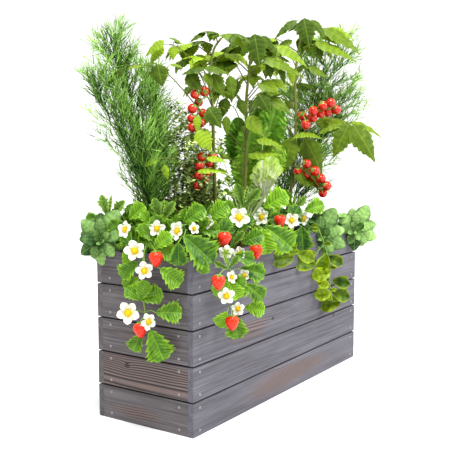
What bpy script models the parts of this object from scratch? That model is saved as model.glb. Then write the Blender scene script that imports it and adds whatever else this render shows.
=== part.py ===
"""A planted raised bed: a long box of stained boards on corner posts, filled with soil, with
tomatoes, dill, thyme, lettuce, oregano, strawberries and a creeping plant growing in it.

Metres, +Z up. X runs along the bed and Y across it, and the front is at -Y. The origin is on
the ground under the middle of the bed.
"""
import math
import random

import bmesh
import bpy
from mathutils import Matrix, Vector
from mathutils.bvhtree import BVHTree

# The bed
LENGTH = 1.0
WIDTH = 0.34
HEIGHT = 0.49
ROWS = 5
BOARD_WIDTH = 0.095
BOARD_THICK = 0.018
BOARD_EDGE = 0.0015
ROW_PITCH = (HEIGHT - BOARD_WIDTH) / (ROWS - 1)
FIT = 0.0003
POST_SIDE = 0.04
POST_HEIGHT = 0.47
BEARER_THICK = 0.03
BEARER_WIDTH = 0.06
BEARER_SPACING = 0.36
SLAT_THICK = 0.018
SLAT_WIDTH = 0.092
SLAT_PITCH = 0.101
LINER_THICK = 0.0015
LINER_TOP = 0.465
SOIL_TOP = 0.455

# How plants stand in the soil
ROOT_DEPTH = 0.03
ROOT_PLAY = 0.0005
HOLE_SIDES = 4

# Blades, stalks and the room between plants
BLADE_THICK = 0.0009
FLAT = 0.006
STALK_RADIUS = 0.0014
SMALL_FLOWER = 0.051
SMALL_LEAF = 0.05
ROOM = 0.0006

# The plants are laid out on upright planes that face the near left corner of the bed.
FACING = math.radians(56)
ACROSS = Vector((math.cos(FACING), -math.sin(FACING), 0.0))
BEHIND = Vector((math.sin(FACING), math.cos(FACING), 0.0))
TOWARD = -BEHIND
UP = Vector((0.0, 0.0, 1.0))

WOOD = ((0.20, 0.185, 0.195), 0.75)
INNER_WOOD = ((0.33, 0.24, 0.16), 0.8)
MEMBRANE = ((0.02, 0.02, 0.02), 0.6)
EARTH = ((0.045, 0.028, 0.018), 0.95)
TOMATO_GREEN = ((0.10, 0.19, 0.02), 0.55)
TOMATO_RED = ((0.60, 0.02, 0.01), 0.25)
DILL_GREEN = ((0.06, 0.20, 0.05), 0.6)
THYME_GREEN = ((0.05, 0.10, 0.03), 0.6)
LETTUCE_GREEN = ((0.10, 0.28, 0.04), 0.5)
OREGANO_GREEN = ((0.20, 0.38, 0.12), 0.7)
STRAWBERRY_GREEN = ((0.08, 0.27, 0.02), 0.5)
CREEPER_GREEN = ((0.20, 0.30, 0.02), 0.45)

# Half outlines of the leaves: (share of the length, share of the half width) from foot to tip
TOMATO_TIP_LEAFLET = ((0.28, 1.0), (0.48, 0.60), (0.66, 0.66))
TOMATO_SIDE_LEAFLET = ((0.32, 1.0), (0.70, 0.60))
STRAWBERRY_LEAFLET = ((0.38, 0.80), (0.62, 1.0), (0.92, 0.56))
YOUNG_LEAFLET = ((0.45, 1.0), (0.78, 0.62))
OVAL_LEAF = ((0.25, 0.85), (0.65, 0.90))
LETTUCE_LEAF = ((0.30, 0.26), (0.55, 0.95), (0.68, 0.80), (0.84, 0.86))

# Tomato plants: where each stands, its stem as (across, up), and its leaves as
# (height on the stem, end across, end up, end behind, leaflet length, pairs of side leaflets)
TOMATO_PLANTS = {
    "tomato_plant_left": {
        "foot": (-0.15, 0.0),
        "stem": ((0.0, 0.60), (-0.004, 0.74), (-0.009, 0.905), (-0.018, 0.978), (-0.006, 1.064),
                 (0.018, 1.105)),
        "leaves": ((0.84, -0.24, 1.015, -0.02, 0.085, 2), (0.96, -0.155, 1.08, 0.02, 0.065, 2),
                   (0.92, -0.07, 1.01, -0.05, 0.062, 1), (1.05, -0.04, 1.10, 0.03, 0.05, 1),
                   (1.08, 0.05, 1.115, -0.02, 0.05, 1), (0.88, 0.03, 0.95, -0.05, 0.055, 1),
                   (0.79, -0.01, 0.87, -0.06, 0.055, 1), (0.72, -0.055, 0.815, 0.04, 0.055, 1),
                   (0.86, 0.03, 0.96, 0.10, 0.06, 1)),
    },
    "tomato_plant_centre": {
        "foot": (-0.03, -0.02),
        "stem": ((0.004, 0.60), (0.013, 0.737), (0.013, 0.909), (0.018, 0.98), (0.026, 1.058),
                 (0.031, 1.10)),
        "leaves": ((1.07, 0.042, 1.105, -0.04, 0.08, 1), (1.08, -0.03, 1.095, 0.0, 0.055, 1),
                   (1.08, 0.085, 1.095, 0.02, 0.055, 1), (1.00, 0.12, 1.03, -0.01, 0.07, 2),
                   (0.93, 0.08, 0.985, -0.03, 0.06, 1), (0.87, 0.045, 0.925, -0.05, 0.055, 1),
                   (0.97, -0.05, 1.05, -0.03, 0.06, 1), (0.79, 0.045, 0.86, -0.04, 0.055, 1),
                   (0.80, -0.03, 0.90, -0.03, 0.055, 1), (0.71, 0.09, 0.785, -0.03, 0.07, 1),
                   (0.92, 0.03, 1.01, 0.10, 0.06, 1)),
    },
    "tomato_plant_right": {
        "foot": (0.31, 0.0),
        "stem": ((0.004, 0.60), (0.021, 0.80), (0.018, 1.02), (0.033, 1.14), (0.044, 1.195)),
        "leaves": ((1.16, 0.05, 1.20, -0.04, 0.085, 1), (1.17, -0.025, 1.185, 0.0, 0.06, 1),
                   (1.17, 0.10, 1.19, 0.02, 0.06, 1), (1.05, -0.03, 1.125, -0.03, 0.075, 1),
                   (1.06, 0.15, 1.11, 0.0, 0.075, 1), (1.13, 0.17, 1.165, -0.03, 0.08, 1),
                   (0.98, 0.10, 1.045, -0.03, 0.055, 1), (0.80, 0.235, 0.865, -0.05, 0.10, 2),
                   (0.69, -0.005, 0.77, -0.06, 0.085, 1), (0.72, 0.095, 0.78, -0.03, 0.09, 1),
                   (0.92, 0.05, 1.0, 0.10, 0.06, 1)),
    },
}

# Trusses of tomatoes: the plant that carries each, the fruit's radius, the stalk and the fruits
# as (across, up), the fruits lying alternately nearer and further
TRUSSES = {
    "tomato_truss_left_upper": {
        "plant": "tomato_plant_left", "radius": 0.0135, "from": (-0.01, 0.925),
        "stalk": ((-0.035, 0.925), (-0.052, 0.89), (-0.058, 0.83)),
        "fruits": ((-0.031, 0.935), (-0.060, 0.936), (-0.047, 0.912), (-0.068, 0.893),
                   (-0.041, 0.883), (-0.070, 0.864), (-0.050, 0.856), (-0.066, 0.836)),
    },
    "tomato_truss_left_lower": {
        "plant": "tomato_plant_left", "radius": 0.013, "from": (-0.006, 0.765),
        "stalk": ((-0.022, 0.755), (-0.034, 0.72), (-0.040, 0.67)),
        "fruits": ((-0.012, 0.757), (-0.041, 0.749), (-0.026, 0.730), (-0.046, 0.722),
                   (-0.030, 0.699), (-0.050, 0.692), (-0.036, 0.672), (-0.052, 0.661)),
    },
    "tomato_truss_right_upper": {
        "plant": "tomato_plant_right", "radius": 0.0185, "from": (0.02, 0.87),
        "stalk": ((0.05, 0.895), (0.09, 0.91), (0.14, 0.912)),
        "fruits": ((0.042, 0.888), (0.052, 0.850), (0.078, 0.878), (0.074, 0.908),
                   (0.108, 0.896), (0.110, 0.926), (0.134, 0.904), (0.140, 0.930), (0.160, 0.905)),
    },
    "tomato_truss_right_lower": {
        "plant": "tomato_plant_right", "radius": 0.0175, "from": (0.012, 0.705),
        "stalk": ((0.035, 0.705), (0.07, 0.675), (0.105, 0.63)),
        "fruits": ((0.028, 0.700), (0.057, 0.715), (0.060, 0.682), (0.086, 0.690),
                   (0.086, 0.660), (0.108, 0.664), (0.106, 0.636), (0.128, 0.638), (0.117, 0.612)),
    },
}

# Strawberry plants: the crown, the runner where one trails over the rim, the sprigs as
# (x, y, z, leaflets of (clock, length)), the young sprigs that stand up half folded, the
# flowers as (x, y, z, width, turn) and the berries
STRAWBERRIES = {
    "strawberry_left_end": {
        "crown": (-0.43, 0.06), "runner": (),
        "sprigs": ((-0.475, 0.175, 0.575, ((-85, 0.045),)), (-0.48, 0.065, 0.58, ((45, 0.06),)),
                   (-0.47, 0.0, 0.57, ((-30, 0.04),)), (-0.52, -0.03, 0.535, ((-15, 0.045),)),
                   (-0.53, 0.045, 0.495, ((150, 0.032),))),
        "young": ((-0.47, 0.15, 0.575, ((-14, 0.06), (10, 0.06), (42, 0.06))),),
        "flowers": ((-0.52, 0.04, 0.556, 0.052, -40), (-0.55, -0.015, 0.505, 0.060, 0),
                    (-0.565, -0.06, 0.457, 0.052, 0)),
        "berries": ((-0.555, -0.09, 0.49),),
    },
    "strawberry_trail_end": {
        "crown": (-0.45, -0.02),
        "runner": ((-0.508, -0.03, 0.53), (-0.545, -0.035, 0.47), (-0.548, -0.04, 0.38),
                   (-0.545, -0.05, 0.31)),
        "sprigs": ((-0.54, -0.02, 0.43, ((-110, 0.05),)),
                   (-0.555, -0.035, 0.375, ((-45, 0.05), (15, 0.055), (68, 0.065))),
                   (-0.55, -0.085, 0.345, ((85, 0.07),)), (-0.545, -0.03, 0.28, ((-150, 0.055),)),
                   (-0.55, -0.065, 0.295, ((155, 0.09),)), (-0.55, -0.10, 0.465, ((122, 0.07),))),
        "young": (),
        "flowers": ((-0.575, -0.01, 0.34, 0.065, 0), (-0.575, -0.085, 0.325, 0.048, -30)),
        "berries": ((-0.57, -0.045, 0.297),),
    },
    "strawberry_corner": {
        "crown": (-0.42, -0.11), "runner": (),
        "sprigs": ((-0.45, -0.105, 0.58, ((52, 0.068),)),
                   (-0.535, -0.07, 0.515, ((45, 0.058), (105, 0.055))),
                   (-0.505, -0.145, 0.55, ((128, 0.105),)), (-0.53, -0.145, 0.535, ((178, 0.062),)),
                   (-0.48, -0.195, 0.49, ((-172, 0.04),))),
        "young": ((-0.45, -0.025, 0.575, ((-14, 0.06), (10, 0.056), (34, 0.06))),),
        "flowers": ((-0.505, -0.055, 0.563, 0.048, 0), (-0.495, -0.12, 0.56, 0.055, -40),
                    (-0.465, -0.145, 0.565, 0.034, 35)),
        "berries": (),
    },
    "strawberry_trail_front": {
        "crown": (-0.36, -0.11),
        "runner": ((-0.385, -0.178, 0.53), (-0.392, -0.212, 0.47), (-0.388, -0.214, 0.40),
                   (-0.375, -0.212, 0.335)),
        "sprigs": ((-0.375, -0.135, 0.585, ((50, 0.065),)), (-0.33, -0.21, 0.445, ((100, 0.07),)),
                   (-0.29, -0.205, 0.395, ((128, 0.065),)),
                   (-0.38, -0.215, 0.395, ((-20, 0.04), (45, 0.047), (90, 0.047))),
                   (-0.30, -0.205, 0.33, ((95, 0.058),)), (-0.415, -0.222, 0.34, ((-145, 0.048),)),
                   (-0.365, -0.21, 0.325, ((170, 0.072),))),
        "young": ((-0.33, -0.175, 0.505, ((42, 0.05),)),
                  (-0.41, -0.222, 0.455, ((-60, 0.036), (-14, 0.04), (35, 0.04)))),
        "flowers": ((-0.415, -0.218, 0.50, 0.044, 180), (-0.335, -0.215, 0.488, 0.042, -35),
                    (-0.405, -0.225, 0.433, 0.036, 40), (-0.34, -0.225, 0.425, 0.040, -40),
                    (-0.445, -0.24, 0.39, 0.048, 0), (-0.385, -0.24, 0.345, 0.040, -20)),
        "berries": ((-0.40, -0.205, 0.535), (-0.475, -0.235, 0.43), (-0.42, -0.24, 0.312)),
    },
    "strawberry_front": {
        "crown": (-0.22, -0.10), "runner": (),
        "sprigs": ((-0.225, -0.125, 0.585, ((-45, 0.05),)), (-0.26, -0.172, 0.505, ((60, 0.065),)),
                   (-0.18, -0.188, 0.543, ((170, 0.08),))),
        "young": ((-0.18, -0.12, 0.60, ((-16, 0.065), (12, 0.058), (42, 0.065))),),
        "flowers": ((-0.395, -0.15, 0.577, 0.044, -40), (-0.27, -0.165, 0.58, 0.064, 0),
                    (-0.14, -0.165, 0.57, 0.058, -40)),
        "berries": ((-0.26, -0.215, 0.485),),
    },
    "strawberry_right": {
        "crown": (0.05, -0.10), "runner": (),
        "sprigs": ((-0.06, -0.12, 0.592, ((55, 0.085),)), (0.05, -0.128, 0.57, ((-65, 0.036),)),
                   (0.203, -0.12, 0.56, ((65, 0.07),)), (-0.142, -0.175, 0.543, ((125, 0.105),)),
                   (0.06, -0.188, 0.525, ((175, 0.08),))),
        "young": ((0.125, -0.112, 0.562, ((-15, 0.065), (13, 0.052), (42, 0.058))),),
        "flowers": ((0.035, -0.165, 0.545, 0.052, 0), (0.15, -0.15, 0.54, 0.050, -40)),
        "berries": ((-0.04, -0.165, 0.55),),
    },
    "strawberry_back_left": {
        "crown": (-0.13, 0.125), "runner": (),
        "sprigs": ((-0.20, 0.165, 0.565, ((-75, 0.07),)), (-0.20, 0.195, 0.53, ((-125, 0.07),)),
                   (-0.15, 0.21, 0.525, ((170, 0.08),)), (-0.075, 0.185, 0.55, ((-10, 0.065),)),
                   (-0.10, 0.20, 0.535, ((140, 0.075),))),
        "young": (),
        "flowers": ((-0.13, 0.205, 0.565, 0.05, 180),),
        "berries": ((-0.16, 0.215, 0.48),),
    },
    "strawberry_back_right": {
        "crown": (0.205, 0.122), "runner": (),
        "sprigs": ((0.14, 0.165, 0.57, ((-60, 0.065),)), (0.13, 0.195, 0.535, ((-110, 0.075),)),
                   (0.17, 0.21, 0.525, ((-170, 0.075),)), (0.27, 0.19, 0.555, ((0, 0.07),)),
                   (0.24, 0.20, 0.53, ((150, 0.08),))),
        "young": (),
        "flowers": ((0.19, 0.205, 0.57, 0.05, 180),),
        "berries": ((0.18, 0.215, 0.485),),
    },
}

# Oregano rosettes: where the stem stands, where the rosette opens, and its size
OREGANO = {
    "oregano_left": ((-0.45, 0.10), (-0.505, 0.155, 0.525), 1.0),
    "oregano_right": ((0.25, -0.11), (0.265, -0.19, 0.498), 1.12),
    "oregano_far_right": ((0.43, -0.11), (0.455, -0.20, 0.50), 0.88),
}
# The whorls of a rosette from the back one to the front one: how far forward it opens, how its
# leaves droop, and the clock, lean to the front and length of each leaf
OREGANO_WHORLS = (
    (0.0, 0.4, ((-95, 0.05, 0.044), (-20, 0.0, 0.046), (62, 0.15, 0.054), (176, 0.3, 0.052))),
    (0.010, 0.4, ((-132, 0.25, 0.052), (-60, 0.15, 0.056), (27, 0.15, 0.062), (122, 0.05, 0.064))),
    (0.020, 0.1, ((-115, 1.0, 0.030), (-30, 1.0, 0.032), (75, 0.8, 0.038), (155, 0.8, 0.048))),
)

# Creeping plant: the root, the trailing stem, and its leaves (x, y, z, clock, length)
CREEPERS = {
    "creeper_short": {
        "root": (-0.02, -0.13),
        "stem": ((-0.02, -0.178, 0.52), (-0.03, -0.205, 0.47), (-0.035, -0.208, 0.445)),
        "leaves": ((0.005, -0.20, 0.47, -125, 0.052), (-0.04, -0.215, 0.44, -95, 0.062),
                   (-0.01, -0.215, 0.45, 110, 0.045)),
    },
    "creeper_long": {
        "root": (0.15, -0.13),
        "stem": ((0.165, -0.178, 0.52), (0.19, -0.205, 0.45), (0.215, -0.208, 0.38),
                 (0.225, -0.208, 0.31), (0.245, -0.208, 0.255)),
        "leaves": ((0.105, -0.215, 0.40, -80, 0.062), (0.195, -0.21, 0.42, -155, 0.05),
                   (0.215, -0.205, 0.41, 115, 0.046), (0.20, -0.222, 0.365, -105, 0.055),
                   (0.25, -0.205, 0.325, 100, 0.05), (0.195, -0.22, 0.315, -65, 0.036),
                   (0.25, -0.205, 0.285, 105, 0.052), (0.21, -0.22, 0.29, -95, 0.048),
                   (0.275, -0.222, 0.25, -95, 0.066), (0.13, -0.205, 0.43, -90, 0.03)),
    },
}

# Dill: the foot of each stem, its top, and its fronds, as (across, up, behind) from the foot
DILL = {
    "dill_left_1": {"foot": (-0.29, 0.11), "top": (-0.14, 1.05, 0.02), "fronds": 4},
    "dill_left_2": {"foot": (-0.32, 0.09), "top": (-0.18, 0.93, -0.02), "fronds": 4},
    "dill_left_3": {"foot": (-0.24, 0.125), "top": (-0.045, 0.96, 0.03), "fronds": 3},
    "dill_right_1": {"foot": (0.36, 0.10), "top": (0.24, 1.09, 0.0), "fronds": 4},
    "dill_right_2": {"foot": (0.40, 0.06), "top": (0.19, 0.93, 0.0), "fronds": 4},
}
# Where a frond has its pairs of needles, as shares of its length
DILL_NEEDLES = (0.35, 0.6, 0.85)

THYME_FOOT = (-0.215, 0.055)
THYME_TOPS = ((-0.055, 0.925, 0.0), (0.005, 0.90, 0.02), (-0.115, 0.79, -0.02),
              (0.07, 0.79, 0.03), (-0.13, 0.67, 0.02), (0.06, 0.66, -0.03), (-0.085, 0.87, 0.02),
              (0.03, 0.84, -0.04))
THYME_PAIRS = 4

LETTUCE_FOOT = (0.11, 0.07)
# Each leaf: end across, end up, end behind, width
LETTUCE_LEAVES = ((0.115, 0.925, 0.0, 0.11), (-0.015, 0.87, 0.03, 0.10), (0.03, 0.86, -0.02, 0.09),
                  (0.06, 0.90, 0.06, 0.09), (0.13, 0.78, -0.05, 0.08), (0.0, 0.76, -0.05, 0.08),
                  (0.08, 0.83, 0.08, 0.09))


def point(across, up, behind, foot):
    """The place that lies across, up and behind as seen from the near corner, over a foot."""
    return Vector((foot[0], foot[1], 0.0)) + ACROSS * across + BEHIND * behind + UP * up


def smooth_path(places, steps):
    """Evenly numbered points on a smooth curve through the places."""
    ends = [places[0] * 2 - places[1]] + list(places) + [places[-1] * 2 - places[-2]]
    spans = len(places) - 1
    path = []
    for step in range(steps + 1):
        at = min(step * spans / steps, spans - 1e-9)
        index = int(at)
        share = at - index
        before, start, end, after = ends[index:index + 4]
        path.append((start * 2 + (end - before) * share
                     + (before * 2 - start * 5 + end * 4 - after) * share ** 2
                     + (start * 3 - before - end * 3 + after) * share ** 3) * 0.5)
    return path


def across_frame(direction, hint):
    """A frame whose X is the direction and whose Z is as near the hint as it can be."""
    x_axis = direction.normalized()
    z_axis = (hint - x_axis * hint.dot(x_axis)).normalized()
    return x_axis, z_axis.cross(x_axis), z_axis


def band(low, low_count, high, high_count):
    """The triangles between two rings, whose counts may differ; a count of 1 is a tip."""
    faces = []
    low_steps = low_count if low_count > 1 else 0
    high_steps = high_count if high_count > 1 else 0
    i = j = 0
    while i < low_steps or j < high_steps:
        low_here = low + i % low_count
        high_here = high + j % high_count
        if j == high_steps or (i < low_steps and (i + 1) * high_steps <= (j + 1) * low_steps):
            i += 1
            faces.append((low_here, low + i % low_count, high_here))
        else:
            j += 1
            faces.append((low_here, high + j % high_count, high_here))
    return faces


def loft(rings):
    """A closed solid through rings of points, each ring in turn round the way forward."""
    points = []
    faces = []
    starts = []
    for ring in rings:
        starts.append(len(points))
        points += ring
    if len(rings[0]) > 1:
        faces.append(tuple(reversed(range(len(rings[0])))))
    if len(rings[-1]) > 1:
        faces.append(tuple(range(starts[-1], len(points))))
    for number in range(len(rings) - 1):
        faces += band(starts[number], len(rings[number]), starts[number + 1],
                      len(rings[number + 1]))
    return points, faces


def ring(centre, axis, hint, radii):
    """Points round an axis, one for each radius, which gives a star where the radii differ."""
    _, y_axis, z_axis = across_frame(axis, hint)
    count = len(radii)
    return [centre + (z_axis * math.cos(2 * math.pi * number / count)
                      - y_axis * math.sin(2 * math.pi * number / count)) * radius
            for number, radius in enumerate(radii)]


def rings_along(path, start_radius, end_radius, sides):
    """The rings of a tapered stalk along a path, and the hint that lines up the next ring."""
    rings = []
    hint = Vector((0.31, 0.22, 0.93))
    for index, place in enumerate(path):
        forward = path[min(index + 1, len(path) - 1)] - path[max(index - 1, 0)]
        hint = across_frame(forward, hint)[2]
        share = index / (len(path) - 1)
        radius = start_radius + (end_radius - start_radius) * share
        rings.append(ring(place, forward, hint, [radius] * sides))
    return rings, hint


def tube(path, start_radius, end_radius, sides=3):
    """A closed tapered stalk along a path."""
    return loft(rings_along(path, start_radius, end_radius, sides)[0])


def turned(centre, axis, profile, sides):
    """A closed turned solid: profile is (distance along the axis, radius) from end to end."""
    hint = Vector((0.31, 0.22, 0.93))
    return loft([ring(centre + axis * run, axis, hint, [radius] * sides)
                 for run, radius in profile])


def tomato(start, centre, radius):
    """A round tomato on its own short stalk."""
    axis = (centre - start).normalized()
    sides = 6 if radius > 0.015 else 5
    rings, hint = rings_along([start, centre - axis * radius * 0.9], 0.0006, 0.0012, 3)
    for run, reach in ((-0.5, 0.87), (0.5, 0.87)):
        rings.append(ring(centre + axis * run * radius, axis, hint, [reach * radius] * sides))
    return loft(rings + [[centre + axis * radius * 0.97]])


def berry(path):
    """A strawberry that hangs tip down from the end of its stalk, under a star of sepals."""
    rings, hint = rings_along(path, STALK_RADIUS * 0.5, STALK_RADIUS, 3)
    axis = -UP
    sepals = [0.016, 0.007] * 5
    for run, radii in ((0.001, sepals), (0.005, [0.0145] * 5), (0.016, [0.0185] * 5),
                       (0.030, [0.0125] * 5)):
        rings.append(ring(path[-1] + axis * run, axis, hint, radii))
    return loft(rings + [[path[-1] + axis * 0.042]])


def flower(path, axis, width):
    """A five-petalled flower with a raised middle at the end of its stalk."""
    rings, hint = rings_along(path, STALK_RADIUS * 0.5, STALK_RADIUS, 3)
    petals = [width * 0.22, width * 0.5, width * 0.5] * 5
    if width < SMALL_FLOWER:
        petals = [width * 0.24, width * 0.5] * 5
    centre = path[-1]
    rings.append(ring(centre + axis * 0.005, axis, hint, petals))
    rings.append(ring(centre + axis * 0.006, axis, hint, petals))
    rings.append(ring(centre + axis * 0.008, axis, hint, [width * 0.15] * 5))
    return loft(rings)


def half_faces(outline, ribs):
    """The triangles between a leaf's midrib and one edge, as (kind, index) corners."""
    shares = [step / (ribs + 1) for step in range(ribs + 2)]
    faces = []
    rib = 0
    edge = 0
    while rib < ribs + 1 or edge < len(outline) - 1:
        if edge == len(outline) - 1 or (rib < ribs and shares[rib + 1] <= outline[edge + 1][0]):
            faces.append((("rib", rib), ("edge", edge), ("rib", rib + 1)))
            rib += 1
        else:
            faces.append((("rib", rib), ("edge", edge), ("edge", edge + 1)))
            edge += 1
    return faces


class Sheet:
    """A thin surface put together from strips and leaflets, and made solid at the end."""

    def __init__(self):
        self.points = []
        self.triangles = []

    def point(self, place):
        """Adds a point and gives its number."""
        self.points.append(place)
        return len(self.points) - 1

    def strip(self, path, width, facing):
        """A narrow strip along a path, half as wide at its start: its left and right points."""
        stations = []
        hint = facing
        for index in reversed(range(len(path))):
            forward = path[min(index + 1, len(path) - 1)] - path[max(index - 1, 0)]
            _, y_axis, hint = across_frame(forward, hint)
            reach = width / 2 if index else width / 4
            left = self.point(path[index] + y_axis * reach)
            stations.append((left, self.point(path[index] - y_axis * reach)))
        stations.reverse()
        for (left, right), (next_left, next_right) in zip(stations, stations[1:]):
            self.triangles += [(left, right, next_right), (left, next_right, next_left)]
        return stations

    def leaflet(self, left, right, way, facing, length, width, outline, fold=0.3, droop=0.0,
                ribs=0):
        """A leaf from the edge between two points, folded along its midrib and drooping."""
        x_axis, y_axis, z_axis = across_frame(way, facing)
        foot = (self.points[left] + self.points[right]) / 2
        corners = {("rib", 0): right}
        keys = [("rib", index) for index in range(1, ribs + 2)]
        keys += [(side, index) for side in ("right", "left") for index in range(len(outline))]
        for kind, index in keys:
            share = index / (ribs + 1) if kind == "rib" else outline[index][0]
            bend = droop * share
            run = math.sin(bend) / droop if droop else share
            fall = (1 - math.cos(bend)) / droop if droop else 0.0
            place = foot + (x_axis * run - z_axis * fall) * length
            if kind != "rib":
                normal = x_axis * math.sin(bend) + z_axis * math.cos(bend)
                reach = outline[index][1] * width / 2
                sign = 1 if kind == "left" else -1
                place = place + (y_axis * sign * math.cos(fold) + normal * math.sin(fold)) * reach
            corners[(kind, index)] = self.point(place)
        for face in half_faces(outline, ribs):
            for side in ("right", "left"):
                triangle = [corners[(side if kind == "edge" else kind, index)]
                            for kind, index in face]
                self.triangles.append(tuple(triangle if side == "right" else triangle[::-1]))
        self.triangles.append((left, right, corners[("left", 0)]))

    def hub(self, centre, facing, clocks, radius):
        """A small disc with an edge for each leaf of a whorl: the (left, right) pairs."""
        turns = [(second + first) / 2 for first, second in zip(clocks, clocks[1:])]
        turns.append((clocks[0] + 360 + clocks[-1]) / 2)
        rim = []
        for turn in turns:
            way = clock_way(turn)
            way = (way - facing * way.dot(facing)).normalized()
            rim.append(self.point(centre + way * radius))
        middle = self.point(centre)
        for number in range(len(rim)):
            self.triangles.append((middle, rim[number], rim[number - 1]))
        return [(rim[number - 1], rim[number]) for number in range(len(rim))]

    def solid(self):
        """The closed solid round the surface: alike on both faces and walled along its rim."""
        normals = [Vector() for _ in self.points]
        edges = set()
        for corners in self.triangles:
            first, second, third = (self.points[corner] for corner in corners)
            normal = (second - first).cross(third - first)
            for corner in corners:
                normals[corner] += normal
            edges |= set(zip(corners, corners[1:] + corners[:1]))
        lift = [normal.normalized() * BLADE_THICK / 2 for normal in normals]
        points = [place + half for place, half in zip(self.points, lift)]
        points += [place - half for place, half in zip(self.points, lift)]
        count = len(self.points)
        faces = list(self.triangles)
        faces += [tuple(corner + count for corner in reversed(corners))
                  for corners in self.triangles]
        for start, end in sorted(edges):
            if (end, start) not in edges:
                faces.append((end, start, start + count, end + count))
        return points, faces


class Plant:
    """One node of growing pieces, kept clear of the nodes that stand already."""

    standing = []

    def __init__(self, name, colour):
        self.name = name
        self.colour = colour
        self.pieces = []
        self.grown = []

    def add(self, piece):
        """Adds a piece that carries others, so that they may start inside it."""
        self.pieces.append(piece)

    def add_stalk(self, paths, start_radius, end_radius, sides):
        """Adds a stalk that carries others, along the first path that is clear, and gives it."""
        for path in paths:
            piece = tube(path, start_radius, end_radius, sides)
            if self.is_clear(piece):
                break
        self.pieces.append(piece)
        return path

    def add_first_fit(self, choices):
        """Adds the first choice that touches nothing, or that touches only this plant."""
        spare = None
        for piece in choices:
            if not self.is_clear(piece):
                continue
            tree = BVHTree.FromPolygons(*piece)
            if not any(tree.overlap(other) for other in self.grown):
                spare = piece
                break
            spare = spare or piece
        if spare:
            self.pieces.append(spare)
            self.grown.append(BVHTree.FromPolygons(*spare))
        return spare is not None

    def is_clear(self, piece):
        """Whether a piece keeps its room from every standing node."""
        points, faces = piece
        low = [min(place[axis] for place in points) - ROOM for axis in range(3)]
        high = [max(place[axis] for place in points) + ROOM for axis in range(3)]
        tree = None
        for other_low, other_high, other in Plant.standing:
            if any(low[axis] > other_high[axis] or high[axis] < other_low[axis]
                   for axis in range(3)):
                continue
            tree = tree or BVHTree.FromPolygons(points, faces)
            if tree.overlap(other) or any(other.find_nearest(place, ROOM)[0] for place in points):
                return False
        return True

    def grow(self):
        """Joins the pieces into one solid and lets later plants see it."""
        body = fuse(self.name, self.pieces, self.colour)
        stand(body)
        return body


def stand(body):
    """Puts a finished node among those that plants stay clear of."""
    points = [body.matrix_world @ corner.co for corner in body.data.vertices]
    faces = [tuple(face.vertices) for face in body.data.polygons]
    low = Vector(min(place[axis] for place in points) for axis in range(3))
    high = Vector(max(place[axis] for place in points) for axis in range(3))
    Plant.standing.append((low, high, BVHTree.FromPolygons(points, faces)))


def material_of(name, colour):
    """A node's own material."""
    base, roughness = colour
    finish = bpy.data.materials.new(name)
    finish.use_nodes = True
    shader = finish.node_tree.nodes["Principled BSDF"]
    shader.inputs["Base Color"].default_value = (*base, 1.0)
    shader.inputs["Roughness"].default_value = roughness
    return finish


def mesh_object(name, piece, collection=None):
    """An object of one piece's points and faces."""
    mesh = bpy.data.meshes.new(name)
    mesh.from_pydata([tuple(place) for place in piece[0]], [], piece[1])
    mesh.update()
    body = bpy.data.objects.new(name, mesh)
    (collection or bpy.context.scene.collection).objects.link(body)
    return body


def fuse(name, pieces, colour):
    """One solid of many overlapping ones, joined by one union, with loose scraps dropped."""
    group = bpy.data.collections.new(name + "_pieces")
    bpy.context.scene.collection.children.link(group)
    body = mesh_object(name, pieces[0])
    for piece in pieces[1:]:
        mesh_object(name + "_piece", piece, group)
    join = body.modifiers.new("join", "BOOLEAN")
    join.operation = "UNION"
    join.operand_type = "COLLECTION"
    join.collection = group
    join.solver = "MANIFOLD"
    graph = bpy.context.evaluated_depsgraph_get()
    joined = bpy.data.meshes.new_from_object(body.evaluated_get(graph))
    body.modifiers.clear()
    body.data = joined
    for piece in list(group.objects):
        bpy.data.objects.remove(piece, do_unlink=True)
    bpy.data.collections.remove(group)
    keep_largest(joined)
    merge_flat_faces(joined)
    joined.materials.clear()
    joined.materials.append(material_of(name, colour))
    return body


def keep_largest(mesh):
    """Keeps the largest part of a mesh whose faces meet edge to edge."""
    model = bmesh.new()
    model.from_mesh(mesh)
    parts = []
    seen = set()
    for face in model.faces:
        if face in seen:
            continue
        part = [face]
        seen.add(face)
        for member in part:
            for edge in member.edges:
                for other in edge.link_faces:
                    if other not in seen:
                        seen.add(other)
                        part.append(other)
        parts.append(part)
    parts.sort(key=len)
    scraps = [face for part in parts[:-1] for face in part]
    bmesh.ops.delete(model, geom=scraps, context="FACES")
    model.to_mesh(mesh)
    model.free()


def merge_flat_faces(mesh):
    """Drops the corners that the union left on flat faces, unless that opens the solid."""
    model = bmesh.new()
    model.from_mesh(mesh)
    bmesh.ops.dissolve_limit(model, angle_limit=FLAT, verts=model.verts, edges=model.edges)
    bmesh.ops.triangulate(model, faces=model.faces)
    if all(edge.is_manifold for edge in model.edges):
        model.to_mesh(mesh)
    model.free()


def chamfered_bar(name, low, high, edge, colour):
    """A bar along X or Y whose long edges are chamfered."""
    low, high = Vector(low), Vector(high)
    size = high - low
    model = bmesh.new()
    bmesh.ops.create_cube(model, size=1.0, matrix=Matrix.Diagonal((*size, 1.0)))
    run = 0 if size.x > size.y else 1
    long_edges = [side for side in model.edges
                  if abs((side.verts[0].co - side.verts[1].co)[run]) > size[run] / 2]
    if edge:
        bmesh.ops.bevel(model, geom=long_edges, offset=edge, segments=1, affect="EDGES")
    mesh = bpy.data.meshes.new(name)
    model.to_mesh(mesh)
    model.free()
    mesh.materials.append(material_of(name, colour))
    body = bpy.data.objects.new(name, mesh)
    body.location = (low + high) / 2
    bpy.context.scene.collection.objects.link(body)
    bpy.context.view_layer.update()
    stand(body)
    return body


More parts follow.
